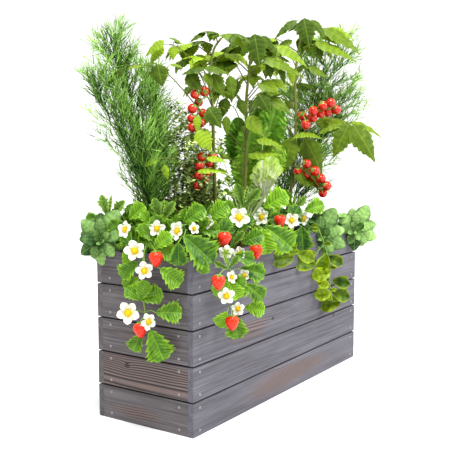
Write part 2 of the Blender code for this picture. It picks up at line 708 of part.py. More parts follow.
def build_boards():
    """The four board walls: the long boards run through and the end boards fit between them."""
    half_long = LENGTH / 2
    half_wide = WIDTH / 2
    inner = half_wide - BOARD_THICK - FIT
    for row in range(ROWS):
        low = row * ROW_PITCH
        high = low + BOARD_WIDTH
        number = str(row + 1)
        chamfered_bar("front_board_" + number, (-half_long, -half_wide, low),
                      (half_long, -half_wide + BOARD_THICK, high), BOARD_EDGE, WOOD)
        chamfered_bar("back_board_" + number, (-half_long, half_wide - BOARD_THICK, low),
                      (half_long, half_wide, high), BOARD_EDGE, WOOD)
        chamfered_bar("left_end_board_" + number, (-half_long, -inner, low),
                      (-half_long + BOARD_THICK, inner, high), BOARD_EDGE, WOOD)
        chamfered_bar("right_end_board_" + number, (half_long - BOARD_THICK, -inner, low),
                      (half_long, inner, high), BOARD_EDGE, WOOD)


def build_posts():
    """The corner posts that the boards are screwed to."""
    x_out = LENGTH / 2 - BOARD_THICK - FIT
    y_out = WIDTH / 2 - BOARD_THICK - FIT
    corners = {"front_left": (-1, -1), "front_right": (1, -1), "back_left": (-1, 1),
               "back_right": (1, 1)}
    for place, (x_sign, y_sign) in corners.items():
        xs = sorted((x_sign * x_out, x_sign * (x_out - POST_SIDE)))
        ys = sorted((y_sign * y_out, y_sign * (y_out - POST_SIDE)))
        chamfered_bar("corner_post_" + place, (xs[0], ys[0], 0.0), (xs[1], ys[1], POST_HEIGHT),
                      0.0, INNER_WOOD)


def build_floor():
    """Three bearers on the ground, with three slats on them between the posts."""
    y_inner = WIDTH / 2 - BOARD_THICK - FIT
    x_inner = LENGTH / 2 - BOARD_THICK - FIT
    for number, x_middle in enumerate((-BEARER_SPACING, 0.0, BEARER_SPACING), start=1):
        chamfered_bar("floor_bearer_" + str(number), (x_middle - BEARER_WIDTH / 2, -y_inner, 0.0),
                      (x_middle + BEARER_WIDTH / 2, y_inner, BEARER_THICK), 0.0, INNER_WOOD)
    low = BEARER_THICK + FIT
    for number, y_middle in enumerate((-SLAT_PITCH, 0.0, SLAT_PITCH), start=1):
        reach = x_inner if y_middle == 0.0 else x_inner - POST_SIDE - FIT
        chamfered_bar("floor_slat_" + str(number), (-reach, y_middle - SLAT_WIDTH / 2, low),
                      (reach, y_middle + SLAT_WIDTH / 2, low + SLAT_THICK), 0.0, INNER_WOOD)


def inside_outline(inset):
    """The bed's inside as seen from above, stepped round the posts and drawn in by an inset."""
    x_wall = LENGTH / 2 - BOARD_THICK - FIT - inset
    y_wall = WIDTH / 2 - BOARD_THICK - FIT - inset
    x_post = LENGTH / 2 - BOARD_THICK - 2 * FIT - POST_SIDE - inset
    y_post = WIDTH / 2 - BOARD_THICK - 2 * FIT - POST_SIDE - inset
    quarter = ((x_wall, y_post), (x_post, y_post), (x_post, y_wall))
    outline = list(quarter)
    outline += [(-x, y) for x, y in reversed(quarter)]
    outline += [(-x, -y) for x, y in quarter]
    outline += [(x, -y) for x, y in reversed(quarter)]
    return outline


def ring_prism(name, loops, colour):
    """A solid through closed loops of (outline, height), capped at its first and last loop."""
    points = [(x, y, height) for outline, height in loops for x, y in outline]
    count = len(loops[0][0])
    faces = [tuple(reversed(range(count))), tuple(range(len(points) - count, len(points)))]
    for ring in range(len(loops) - 1):
        for side in range(count):
            low = ring * count
            after = (side + 1) % count
            faces.append((low + side, low + after, low + count + after, low + count + side))
    body = mesh_object(name, (points, faces))
    body.data.materials.append(material_of(name, colour))
    return body


def build_liner():
    """A thin membrane tub inside the boards, which holds the soil."""
    low = BEARER_THICK + SLAT_THICK + 2 * FIT
    outer = inside_outline(FIT)
    inner = inside_outline(FIT + LINER_THICK)
    body = ring_prism("liner", [(outer, low), (outer, LINER_TOP), (inner, LINER_TOP),
                                (inner, low + LINER_THICK)], MEMBRANE)
    stand(body)
    return low + LINER_THICK + FIT


def build_soil(low, roots):
    """The soil, with a plain hole for the foot of each plant: roots are (x, y, radius)."""
    outline = inside_outline(2 * FIT + LINER_THICK)
    soil = ring_prism("soil", [(outline, low), (outline, SOIL_TOP)], EARTH)
    holes = bpy.data.collections.new("root_holes")
    bpy.context.scene.collection.children.link(holes)
    for x, y, radius in roots:
        reach = (radius + ROOT_PLAY) / math.cos(math.pi / HOLE_SIDES)
        profile = [(SOIL_TOP - ROOT_DEPTH, reach), (SOIL_TOP + 0.01, reach)]
        mesh_object("hole", turned(Vector((x, y, 0.0)), UP, profile, HOLE_SIDES), holes)
    cut = soil.modifiers.new("holes", "BOOLEAN")
    cut.operation = "DIFFERENCE"
    cut.operand_type = "COLLECTION"
    cut.collection = holes
    cut.solver = "EXACT"
    graph = bpy.context.evaluated_depsgraph_get()
    cut_mesh = bpy.data.meshes.new_from_object(soil.evaluated_get(graph))
    soil.modifiers.clear()
    soil.data = cut_mesh
    for hole in list(holes.objects):
        bpy.data.objects.remove(hole, do_unlink=True)
    bpy.data.collections.remove(holes)
    stand(soil)
    return soil


def clock_way(clock):
    """The direction that a clock angle points in, seen from the near corner: 0 is up."""
    angle = math.radians(clock)
    return UP * math.cos(angle) + ACROSS * math.sin(angle)


def foot_of(plant, place, radius, top, sides):
    """Adds the foot of a plant in its hole, up to a height, and gives the place of its top."""
    path = [Vector((*place, SOIL_TOP - ROOT_DEPTH + FIT)), Vector((*place, top))]
    plant.add(tube(path, radius, radius * 0.9, sides))
    return path[-1]


def along(path, share):
    """The place a share of the way along an evenly stepped path, and the way it runs there."""
    at = min(share * (len(path) - 1), len(path) - 1.001)
    index = int(at)
    return path[index].lerp(path[index + 1], at - index), path[index + 1] - path[index]


def at_height(path, height):
    """The place where a rising path reaches a height."""
    for low, high in zip(path, path[1:]):
        if low.z <= height <= high.z:
            return low.lerp(high, (height - low.z) / (high.z - low.z))
    return path[-1].copy()


class Crown:
    """The knob of a strawberry plant at soil level, from which its stalks rise side by side."""

    PLACES = 10
    HEIGHTS = (0.467, 0.476)
    REACH = 0.0085

    def __init__(self, plant, place):
        profile = [(SOIL_TOP - ROOT_DEPTH + FIT, 0.008), (SOIL_TOP + 0.002, 0.008),
                   (0.469, 0.014), (0.486, 0.007)]
        plant.add(turned(Vector((*place, 0.0)), UP, profile, 5))
        self.place = place
        self.free = [(2 * math.pi * (number + 0.5 * tier) / self.PLACES, height)
                     for tier, height in enumerate(self.HEIGHTS) for number in range(self.PLACES)]

    def start(self, end):
        """Gives the free place inside the knob that lies nearest to the way to an end."""
        heading = math.atan2(end.y - self.place[1], end.x - self.place[0])

        def turn_to(spot):
            return abs(math.remainder(spot[0] - heading, 2 * math.pi))

        spot = min(self.free, key=turn_to)
        self.free.remove(spot)
        angle, height = spot
        return Vector((self.place[0] + self.REACH * math.cos(angle),
                       self.place[1] + self.REACH * math.sin(angle), height))


def over_rim(start, end, lift):
    """The stalk's way from a crown to its end, over the rim where the end hangs outside."""
    middle = start.lerp(end, 0.55)
    outside = abs(end.x) > LENGTH / 2 - 0.02 or abs(end.y) > WIDTH / 2 - 0.02
    middle.z = max(start.z, end.z) + lift
    if outside:
        middle.z = max(middle.z, HEIGHT + 0.02 + lift)
    return [start, middle, end]


def tomato_leaf(stem, radius, height, end, size, pairs, turn, rng):
    """A compound leaf as one sheet: an arched stalk, pairs of leaflets and a tip leaflet."""
    axis = at_height(stem, height)
    level = Vector((end.x - axis.x, end.y - axis.y, 0.0)).normalized()
    start = axis + level * (radius - 0.0015)
    middle = start.lerp(end, 0.6) + UP * (end - start).length * 0.14
    heading = (end - middle).normalized()
    path = [start, middle]
    for pair in range(pairs):
        place = middle.lerp(end, 0.5) if pair == pairs - 1 else start.lerp(middle, 0.75)
        path.insert(1 if pair < pairs - 1 else len(path), place + heading * 0.002)
        path.insert(2 if pair < pairs - 1 else len(path), place + heading * 0.0075)
    path.append(end)
    if pairs == 1:
        path.remove(middle)
    sheet = Sheet()
    stations = sheet.strip(path, 0.0026, UP)
    spin = Matrix.Rotation(turn, 3, "Z")
    outline = TOMATO_TIP_LEAFLET if size > SMALL_LEAF else TOMATO_SIDE_LEAFLET
    sheet.leaflet(*stations[-1], spin @ (heading * 0.5 + level * 0.35 - UP * 0.6),
                  TOWARD * 0.7 + UP * 0.6, size * 1.1, size * 0.72, outline, fold=0.3)
    sides = [(len(path) - 3, 1.0)] if pairs == 1 else [(len(path) - 3, 1.0), (1, 0.85)]
    sideways = UP.cross(level)
    for index, scale in sides:
        low, high = stations[index], stations[index + 1]
        for corners, side in (((low[0], high[0]), 1), ((high[1], low[1]), -1)):
            length = size * scale * rng.uniform(0.85, 1.05)
            way = sideways * side + level * 0.3 - UP * rng.uniform(0.7, 1.2)
            sheet.leaflet(*corners, spin @ way, TOWARD * 0.5 + UP * 0.7, length, length * 0.62,
                          TOMATO_SIDE_LEAFLET, fold=0.25)
    return sheet.solid()


def build_tomatoes():
    """The three tomato plants: each stem with its leaves, for the trusses to hang from."""
    bodies = {}
    for name, layout in TOMATO_PLANTS.items():
        plant = Plant(name, TOMATO_GREEN)
        foot = layout["foot"]
        top = foot_of(plant, foot, 0.0075, 0.49, 5)
        places = [top - UP * 0.012] + [point(across, up, 0.0, foot) for across, up in layout["stem"]]
        stem = smooth_path(places, len(places) + 2)
        plant.add(tube(stem, 0.0068, 0.0026, 4))
        for height, across, up, behind, size, pairs in layout["leaves"]:
            end = point(across, up, behind, foot)
            radius = 0.0068 - 0.0042 * (height - 0.48) / (stem[-1].z - 0.48)
            plant.add_first_fit(tomato_leaf(stem, radius, height, end, size, pairs, turn,
                                            random.Random(name + str(height)))
                                for turn in (0.0, 0.3, -0.3, 0.6, -0.6, 0.9))
        bodies[name] = plant.grow()
    return bodies


def build_trusses(bodies):
    """The bunches of tomatoes, each on a stalk that starts at its plant's stem."""
    for name, layout in TRUSSES.items():
        host = bodies[layout["plant"]]
        foot = TOMATO_PLANTS[layout["plant"]]["foot"]
        radius = layout["radius"]
        plant = Plant(name, TOMATO_RED)
        tree = BVHTree.FromObject(host, bpy.context.evaluated_depsgraph_get())
        seat, normal, _, _ = tree.find_nearest(point(*layout["from"], -0.01, foot))
        places = [seat + normal * 0.006]
        places += [point(across, up, -0.024, foot) for across, up in layout["stalk"]]
        path = [seat + normal * FIT] + smooth_path(places, 5)
        plant.add(tube(path, 0.0022, 0.0017, 4))
        for number, (across, up) in enumerate(layout["fruits"]):
            fruits = []
            for shift in (0.0, -0.012, 0.012, -0.024, 0.024, -0.036):
                depth = (-0.024 + (-0.8 if number % 2 else 0.4) * radius) + shift
                centre = point(across, up, depth, foot)
                nearest = min(path[1:], key=lambda place: (place - centre).length)
                if (nearest - centre).length < radius * 1.15:
                    centre = nearest + (centre - nearest).normalized() * radius * 1.15
                fruits.append(tomato(nearest, centre, radius))
            plant.add_first_fit(fruits)
        plant.grow()


def sprig(crown_start, runner, spec, young, turn, lift):
    """A strawberry leaf as one sheet: its stalk and up to three toothed leaflets."""
    x, y, z, leaflets = spec
    foot = Vector((x, y, z))
    middle_clock = leaflets[len(leaflets) // 2][0] if len(leaflets) != 2 else leaflets[0][0]
    way = (clock_way(middle_clock + turn) + TOWARD * 0.2).normalized()
    facing = TOWARD + UP * (0.15 if young else 0.5)
    near = [place for place in runner if (place - foot).length < 0.10]
    if near:
        start = min(near, key=lambda place: (place - foot).length)
        path = [start, start.lerp(foot, 0.6) + UP * lift]
    else:
        path = over_rim(crown_start, foot, lift)[:2]
    sheet = Sheet()
    if len(leaflets) > 1:
        path.append(foot - way * 0.005)
    before, end = sheet.strip(path + [foot], 0.0026, facing)[-2:]
    corners = [(before[0], end[0]), end, (end[1], before[1])]
    if len(leaflets) < 3:
        corners = corners[1:]
    for (clock, length), (left, right) in zip(leaflets, corners):
        outline = YOUNG_LEAFLET if young or length <= SMALL_LEAF else STRAWBERRY_LEAFLET
        sheet.leaflet(left, right, clock_way(clock + turn) + TOWARD * 0.2, facing, length,
                      length * (0.52 if young else 0.84), outline, fold=0.8 if young else 0.22)
    return sheet.solid()


def hanging(crown_start, runner, end, lift):
    """The way of a flower's or a berry's stalk."""
    near = [place for place in runner if (place - end).length < 0.10]
    if near:
        start = min(near, key=lambda place: (place - end).length)
        return [start, start.lerp(end, 0.5) + UP * (0.006 + lift), end]
    return over_rim(crown_start, end, lift + 0.01)


def build_strawberries():
    """The strawberry plants, with leaves, flowers and berries on stalks from each crown."""
    for name, layout in STRAWBERRIES.items():
        plant = Plant(name, STRAWBERRY_GREEN)
        crown = Crown(plant, layout["crown"])
        runner = []
        if layout["runner"]:
            places = [Vector(place) for place in layout["runner"]]
            start = crown.start(places[0])
            runner = plant.add_stalk([smooth_path([start] + [place + ACROSS * shift + UP * abs(shift)
                                                             for place in places], 8)
                                      for shift in (0.0, 0.006, -0.006, 0.012, -0.012, 0.02)],
                                     0.0026, 0.0020, 4)
        for x, y, z in layout["berries"]:
            end = Vector((x, y, z + 0.02))
            start = crown.start(end)
            plant.add_first_fit(berry(hanging(start, runner, end + TOWARD * shift, lift))
                                for shift in (0.0, 0.012, 0.024) for lift in (0.0, 0.01, 0.02))
        for x, y, z, width, turn in layout["flowers"]:
            end = Vector((x, y, z))
            start = crown.start(end)
            axis = (Matrix.Rotation(math.radians(turn), 3, "Z") @ TOWARD + UP * 0.25).normalized()
            plant.add_first_fit(flower(hanging(start, runner, end + TOWARD * shift, lift),
                                       axis, width)
                                for shift in (0.0, 0.012, 0.024) for lift in (0.0, 0.01, 0.02))
        for young, specs in ((True, layout["young"]), (False, layout["sprigs"])):
            for spec in specs:
                start = crown.start(Vector(spec[:3]))
                plant.add_first_fit(sprig(start, runner, spec, young, turn, lift)
                                    for turn in (0, 12, -12, 24, -24, 36, -36)
                                    for lift in (0.0, 0.01, 0.02))
        plant.grow()


def whorl(plant, heart, leaves, size, droop):
    """A whorl of oval leaves as one sheet, leaving out those that would touch another plant."""
    sheet = Sheet()
    facing = (TOWARD + UP * 0.3).normalized()
    edges = sheet.hub(heart, facing, [clock for clock, _, _ in leaves], 0.005)
    for (clock, lean, length), (left, right) in zip(leaves, edges):
        for turn in (0, 10, -10, 20, -20):
            trial = Sheet()
            ends = [trial.point(sheet.points[corner]) for corner in (left, right)]
            way = clock_way(clock + turn) + TOWARD * lean
            form = (way, facing, length * size, length * size * 0.62, OVAL_LEAF, -0.12, droop)
            trial.leaflet(*ends, *form)
            if plant.is_clear(trial.solid()):
                sheet.leaflet(left, right, *form)
                break
    return sheet.solid()


def build_oregano():
    """The oregano rosettes: two whorls of leaves each at the end of a bent stem."""
    for name, (root, heart, size) in OREGANO.items():
        plant = Plant(name, OREGANO_GREEN)
        top = foot_of(plant, root, 0.004, 0.468, 5)
        heart = Vector(heart)
        plant.add_stalk([smooth_path(over_rim(top - UP * 0.006, heart, lift)
                                     + [heart + TOWARD * 0.022], 5)
                         for lift in (0.015, 0.025, 0.005, 0.035)], 0.0030, 0.0020, 4)
        for forward, droop, leaves in OREGANO_WHORLS:
            plant.add_first_fit([whorl(plant, heart + TOWARD * forward, leaves, size, droop)])
        plant.grow()


def build_creepers():
    """The creeping plant: round cupped leaves along stems that trail over the front."""
    for name, layout in CREEPERS.items():
        plant = Plant(name, CREEPER_GREEN)
        top = foot_of(plant, layout["root"], 0.003, 0.468, 4) - UP * 0.004
        stem = plant.add_stalk([smooth_path([top] + [Vector(place) + UP * lift
                                                     for place in layout["stem"]], 9)
                                for lift in (0.0, 0.006, 0.012, 0.018)], 0.0025, 0.0018, 4)
        for x, y, z, clock, length in layout["leaves"]:
            foot = Vector((x, y, z))
            start = min(stem, key=lambda place: (place - foot).length)
            leaves = []
            for turn in (0, 12, -12, 24, -24, 36, -36, 48, -48):
                way = (clock_way(clock + turn) + TOWARD * 0.2).normalized()
                sheet = Sheet()
                stations = sheet.strip([start, foot + way * 0.003], 0.0024, TOWARD + UP * 0.3)
                sheet.leaflet(*stations[-1], way, TOWARD + UP * 0.3, length, length * 0.8,
                              OVAL_LEAF, fold=0.3)
                leaves.append(sheet.solid())
            plant.add_first_fit(leaves)
        plant.grow()


def build_lettuce():
    """A tall lettuce behind the tomatoes: broad leaves on narrow ribs from one heart."""
    plant = Plant("lettuce", LETTUCE_GREEN)
    top = foot_of(plant, LETTUCE_FOOT, 0.012, 0.49, 6)
    for number, (across, up, behind, width) in enumerate(LETTUCE_LEAVES):
        end = point(across, up, behind, LETTUCE_FOOT)
        angle = 2 * math.pi * number / len(LETTUCE_LEAVES)
        start = top + Vector((math.cos(angle), math.sin(angle), 0.0)) * 0.006
        start -= UP * (0.004 + 0.004 * (number % 3))
        leaves = []
        for turn in (0.0, 0.1, -0.1, 0.2, -0.2):
            way = Matrix.Rotation(turn, 3, BEHIND) @ (end - start)
            sheet = Sheet()
            stations = sheet.strip([start, start + way * 0.3], 0.007, TOWARD + UP * 0.3)
            sheet.leaflet(*stations[-1], way, TOWARD + UP * 0.3, way.length * 0.7, width,
                          LETTUCE_LEAF, fold=0.25, droop=-0.25, ribs=1)
            leaves.append(sheet.solid())
        plant.add_first_fit(leaves)
    plant.grow()


def feathered(path, shares, base, length, rise, facing, end_length=0.0):
    """A stalk as one thin sheet with a pointed leaf or needle on both sides at each share."""
    sheet = Sheet()
    reach = sum((high - low).length for low, high in zip(path, path[1:]))
    places = [path[0]]
    for share in shares:
        places += [along(path, share)[0], along(path, share + base / reach)[0]]
    stations = sheet.strip(places, 0.0024, facing)
    hint = facing
    for number in range(1, len(places), 2):
        low, high = stations[number], stations[number + 1]
        heading, y_axis, hint = across_frame(places[number + 1] - places[number], hint)
        lift = rise if number % 4 == 1 else -rise
        for (left, right), side in (((low[0], high[0]), 1), ((high[1], low[1]), -1)):
            way = (heading * 0.8 + y_axis * side + hint * lift * side).normalized()
            foot = (sheet.points[left] + sheet.points[right]) / 2
            sheet.triangles.append((left, right, sheet.point(foot + way * length)))
    if end_length:
        left, right = stations[-1]
        sheet.triangles.append((left, right, sheet.point(places[-1] + heading * end_length)))
    return sheet.solid()


def build_thyme():
    """The thyme bush: thin upright stems with pairs of small pointed leaves."""
    plant = Plant("thyme", THYME_GREEN)
    foot = foot_of(plant, THYME_FOOT, 0.006, 0.468, 6)
    for number, (across, up, behind) in enumerate(THYME_TOPS):
        angle = 2 * math.pi * number / len(THYME_TOPS)
        start = foot + Vector((math.cos(angle), math.sin(angle), 0.0)) * 0.0035 - UP * 0.002
        end = point(across, up, behind, THYME_FOOT)
        shares = [0.34 + 0.62 * pair / (THYME_PAIRS - 1) for pair in range(THYME_PAIRS)]
        stems = []
        for bend in (0.15, 0.3, 0.0, -0.15, 0.45, -0.3):
            middle = start.lerp(end, 0.5) + ACROSS * across * bend + BEHIND * 0.15 * bend
            stems.append(feathered(smooth_path([start, middle, end], 8), shares, 0.007, 0.02, 0.8,
                                   TOWARD, 0.01))
        plant.add_first_fit(stems)
    plant.grow()


def build_dill():
    """The dill: tall stems with feathery fronds on alternate sides."""
    for name, layout in DILL.items():
        plant = Plant(name, DILL_GREEN)
        rng = random.Random(name)
        foot = layout["foot"]
        across, up, behind = layout["top"]
        base = foot_of(plant, foot, 0.004, 0.468, 4) - UP * 0.004
        end = point(across, up, behind, foot)
        stems = []
        for bend in (0.0, 0.02, -0.02, 0.04, -0.04, 0.06, -0.06, 0.08, 0.1):
            middle = point(across * 0.32, 0.5 * (base.z + up), behind * 0.4 + bend, foot)
            stems.append([base] + smooth_path([base + UP * 0.02, middle, end], 5))
        stem = plant.add_stalk(stems, 0.0026, 0.0012, 3)
        for number in range(layout["fronds"]):
            share = 0.36 + 0.64 * (number + 1) / layout["fronds"]
            place = along(stem, share)[0]
            side = 1 if number % 2 else -1
            length = 0.20 * (1.15 - 0.5 * share)
            fronds = []
            for _ in range(8):
                way = ACROSS * side * rng.uniform(0.3, 0.7) + UP * rng.uniform(0.7, 1.0)
                way += BEHIND * rng.uniform(-0.2, 0.4)
                tip = place + way.normalized() * length
                path = smooth_path([place, place.lerp(tip, 0.5) + UP * 0.01, tip], 6)
                facing = Matrix.Rotation(rng.uniform(-0.6, 0.6), 3, "Z") @ (TOWARD + UP * 0.6)
                fronds.append(feathered(path, DILL_NEEDLES, 0.006, 0.052, 0.5, facing, 0.05))
            plant.add_first_fit(fronds)
        plant.grow()


def root_places():
    """Where every plant's foot enters the soil, with its radius."""
    places = [(*layout["foot"], 0.0075) for layout in TOMATO_PLANTS.values()]
    places += [(*layout["crown"], 0.008) for layout in STRAWBERRIES.values()]
    places += [(*root, 0.004) for root, _, _ in OREGANO.values()]
    places += [(*layout["root"], 0.003) for layout in CREEPERS.values()]
    places += [(*layout["foot"], 0.004) for layout in DILL.values()]
    places += [(*LETTUCE_FOOT, 0.012), (*THYME_FOOT, 0.006)]
    return places


def main():
    """Builds the bed from the boards inwards, then the plants from the tallest down."""
    for body in list(bpy.data.objects):
        bpy.data.objects.remove(body, do_unlink=True)
    build_boards()
    build_posts()
    build_floor()
    soil_floor = build_liner()
    build_soil(soil_floor, root_places())
    build_trusses(build_tomatoes())
    build_oregano()
    build_strawberries()
    build_creepers()
    build_lettuce()
    build_thyme()
    build_dill()


main()
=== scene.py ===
"""Dresses the planted raised bed: its stained boards and screws, the soil, and all that grows there.

Metres, in the frame of the bed's solids: X runs along the bed, Y across it, Z is up and the front
is at -Y. The plants are laid out on upright planes that face the near left corner of the bed.
"""
from __future__ import annotations

import logging
import math
import random
from dataclasses import dataclass, replace
from enum import Enum
from functools import cache

import bmesh
import bpy
import numpy as np
from mathutils import Matrix, Vector

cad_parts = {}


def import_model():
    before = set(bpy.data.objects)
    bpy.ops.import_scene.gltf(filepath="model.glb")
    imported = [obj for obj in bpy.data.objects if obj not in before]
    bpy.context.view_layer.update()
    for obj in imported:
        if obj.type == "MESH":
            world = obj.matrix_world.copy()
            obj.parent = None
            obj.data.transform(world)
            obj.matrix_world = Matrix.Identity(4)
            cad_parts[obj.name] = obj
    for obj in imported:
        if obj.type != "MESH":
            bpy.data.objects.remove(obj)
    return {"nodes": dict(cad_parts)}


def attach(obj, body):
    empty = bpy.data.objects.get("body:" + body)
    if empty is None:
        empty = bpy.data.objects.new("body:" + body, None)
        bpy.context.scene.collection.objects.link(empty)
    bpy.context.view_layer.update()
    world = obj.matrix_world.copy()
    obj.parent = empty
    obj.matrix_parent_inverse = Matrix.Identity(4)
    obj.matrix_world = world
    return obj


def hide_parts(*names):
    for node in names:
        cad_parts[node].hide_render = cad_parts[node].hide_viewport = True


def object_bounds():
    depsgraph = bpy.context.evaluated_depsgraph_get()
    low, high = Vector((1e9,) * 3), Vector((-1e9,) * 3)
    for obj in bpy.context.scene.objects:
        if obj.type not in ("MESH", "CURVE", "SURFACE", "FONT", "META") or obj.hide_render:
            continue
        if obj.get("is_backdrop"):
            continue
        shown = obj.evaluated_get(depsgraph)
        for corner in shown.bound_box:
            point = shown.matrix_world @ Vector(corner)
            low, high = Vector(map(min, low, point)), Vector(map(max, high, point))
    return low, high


log = logging.getLogger("raised_bed")

Spot = tuple[float, float]
Place = tuple[float, float, float]
Colour = tuple[float, float, float]
Radii = tuple[float, float]
Row = tuple[float, ...]
Path = list[Vector]

# The bed, as its solids have it
LENGTH = 1.0
WIDTH = 0.34
HEIGHT = 0.49
ROWS = 5
BOARD_WIDTH = 0.095
BOARD_THICK = 0.018
ROW_PITCH = (HEIGHT - BOARD_WIDTH) / (ROWS - 1)
SOIL_TOP = 0.455
LINER_INSET = 0.021
POST_SIDE = 0.04

# The planes that the plants are laid out on
FACING = math.radians(56)
ACROSS = Vector((math.cos(FACING), -math.sin(FACING), 0.0))
BEHIND = Vector((math.sin(FACING), math.cos(FACING), 0.0))
TOWARD = -BEHIND
UP = Vector((0.0, 0.0, 1.0))

# How the plants grow: where stems start under the soil, a direction that no stalk takes, and the
# turn in radians from one leaf, stamen or seed of a spiral to the next
ROOT_LEVEL = 0.43
ASLANT = Vector((0.31, 0.22, 0.93))
SPIRAL = 2.4

LEAF_MARK = "leaf"


class Side(Enum):
    """The walls of the bed: each one's name, the axis that it runs along and the way it faces."""

    FRONT = ("front", 0, -1)
    BACK = ("back", 0, 1)
    LEFT_END = ("left_end", 1, -1)
    RIGHT_END = ("right_end", 1, 1)


def point(across: float, up: float, behind: float, foot: Spot) -> Vector:
    """The place that lies across, up and behind, over a foot."""
    return Vector((foot[0], foot[1], 0.0)) + ACROSS * across + BEHIND * behind + UP * up


def above(foot: Spot, height: float) -> Vector:
    """The place at a height over a foot."""
    return Vector((*foot, height))


def turned(first: Vector, second: Vector, angle: float) -> Vector:
    """The direction at an angle in radians from the first direction towards the second."""
    return first * math.cos(angle) + second * math.sin(angle)


def clock_way(clock: float) -> Vector:
    """The direction of a clock angle in degrees, seen from the near corner: 0 is up."""
    return turned(UP, ACROSS, math.radians(clock))


def smooth_path(places: Path, steps: int) -> Path:
    """Puts evenly numbered points on a smooth curve.

    Args:
        places: the points that the curve passes through.
        steps: how many spans the curve is divided into.

    Returns:
        The points from the first place to the last.
    """
    ends = [places[0] * 2 - places[1]] + list(places) + [places[-1] * 2 - places[-2]]
    spans = len(places) - 1
    path = []
    for step in range(steps + 1):
        at = min(step * spans / steps, spans - 1e-9)
        index = int(at)
        share = at - index
        before, start, end, after = ends[index:index + 4]
        path.append((start * 2 + (end - before) * share
                     + (before * 2 - start * 5 + end * 4 - after) * share ** 2
                     + (start * 3 - before - end * 3 + after) * share ** 3) * 0.5)
    return path


def bowed(start: Vector, end: Vector, share: float, bow: Vector, steps: int) -> Path:
    """A smooth path between two places, pushed off by a bow at a share of the way."""
    return smooth_path([start, start.lerp(end, share) + bow, end], steps)


def along(path: Path, share: float) -> tuple[Vector, Vector]:
    """The place a share of the way along a path, and the way it runs there.

    Args:
        path: the path.
        share: how far along it, from 0 to 1.

    Returns:
        The place and the way.
    """
    at = min(share * (len(path) - 1), len(path) - 1.001)
    index = int(at)
    return path[index].lerp(path[index + 1], at - index), path[index + 1] - path[index]


def at_height(path: Path, height: float) -> Vector:
    """The place where a rising path reaches a height.

    Args:
        path: the path.
        height: the height.

    Returns:
        The place, or the path's end where it stays lower.
    """
    for low, high in zip(path, path[1:]):
        if low.z <= height <= high.z:
            return low.lerp(high, (height - low.z) / (high.z - low.z))
    return path[-1].copy()


def nearest(path: Path, place: Vector) -> Vector:
    """The point of a path that is nearest to a place."""
    return min(path, key=lambda spot: (spot - place).length)


def leaf_axes(way: Vector, facing: Vector) -> np.ndarray:
    """Rows of a frame: along the leaf, across it, and off its upper face.

    Args:
        way: the way that the leaf points.
        facing: about the way that its upper face looks.

    Returns:
        The three rows.
    """
    x_axis = way.normalized()
    z_axis = (facing - x_axis * facing.dot(x_axis)).normalized()
    return np.array((x_axis, z_axis.cross(x_axis), z_axis))


def unit(rows: np.ndarray) -> np.ndarray:
    """Rows of numbers, each scaled to a length of one."""
    return rows / np.linalg.norm(rows, axis=1, keepdims=True)


def stand(name: str, data: bpy.types.ID) -> bpy.types.Object:
    """Puts a new object in the scene.

    Args:
        name: its name.
        data: its mesh, light or camera.

    Returns:
        The object.
    """
    body = bpy.data.objects.new(name, data)
    bpy.context.scene.collection.objects.link(body)
    return body


def cast(name: str, model: bmesh.types.BMesh, material: bpy.types.Material) -> bpy.types.Object:
    """Makes an object of a model and its material.

    Args:
        name: its name.
        model: the model, which is used up.
        material: its material.

    Returns:
        The object.
    """
    mesh = bpy.data.meshes.new(name)
    model.to_mesh(mesh)
    model.free()
    mesh.materials.append(material)
    return stand(name, mesh)


def settle(body: bpy.types.Object, slot: str, *nodes: str) -> None:
    """Puts a finished piece on the bed.

    Args:
        body: the piece.
        slot: not used.
        nodes: the solids that it stands for.
    """
    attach(body, "root")
    if nodes:
        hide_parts(*nodes)
    log.info("%s: %d faces", body.name, len(body.data.polygons))


def wear(node: bpy.types.Object, material: bpy.types.Material) -> None:
    """Gives a solid that stays in view its material."""
    node.data.materials.clear()
    node.data.materials.append(material)


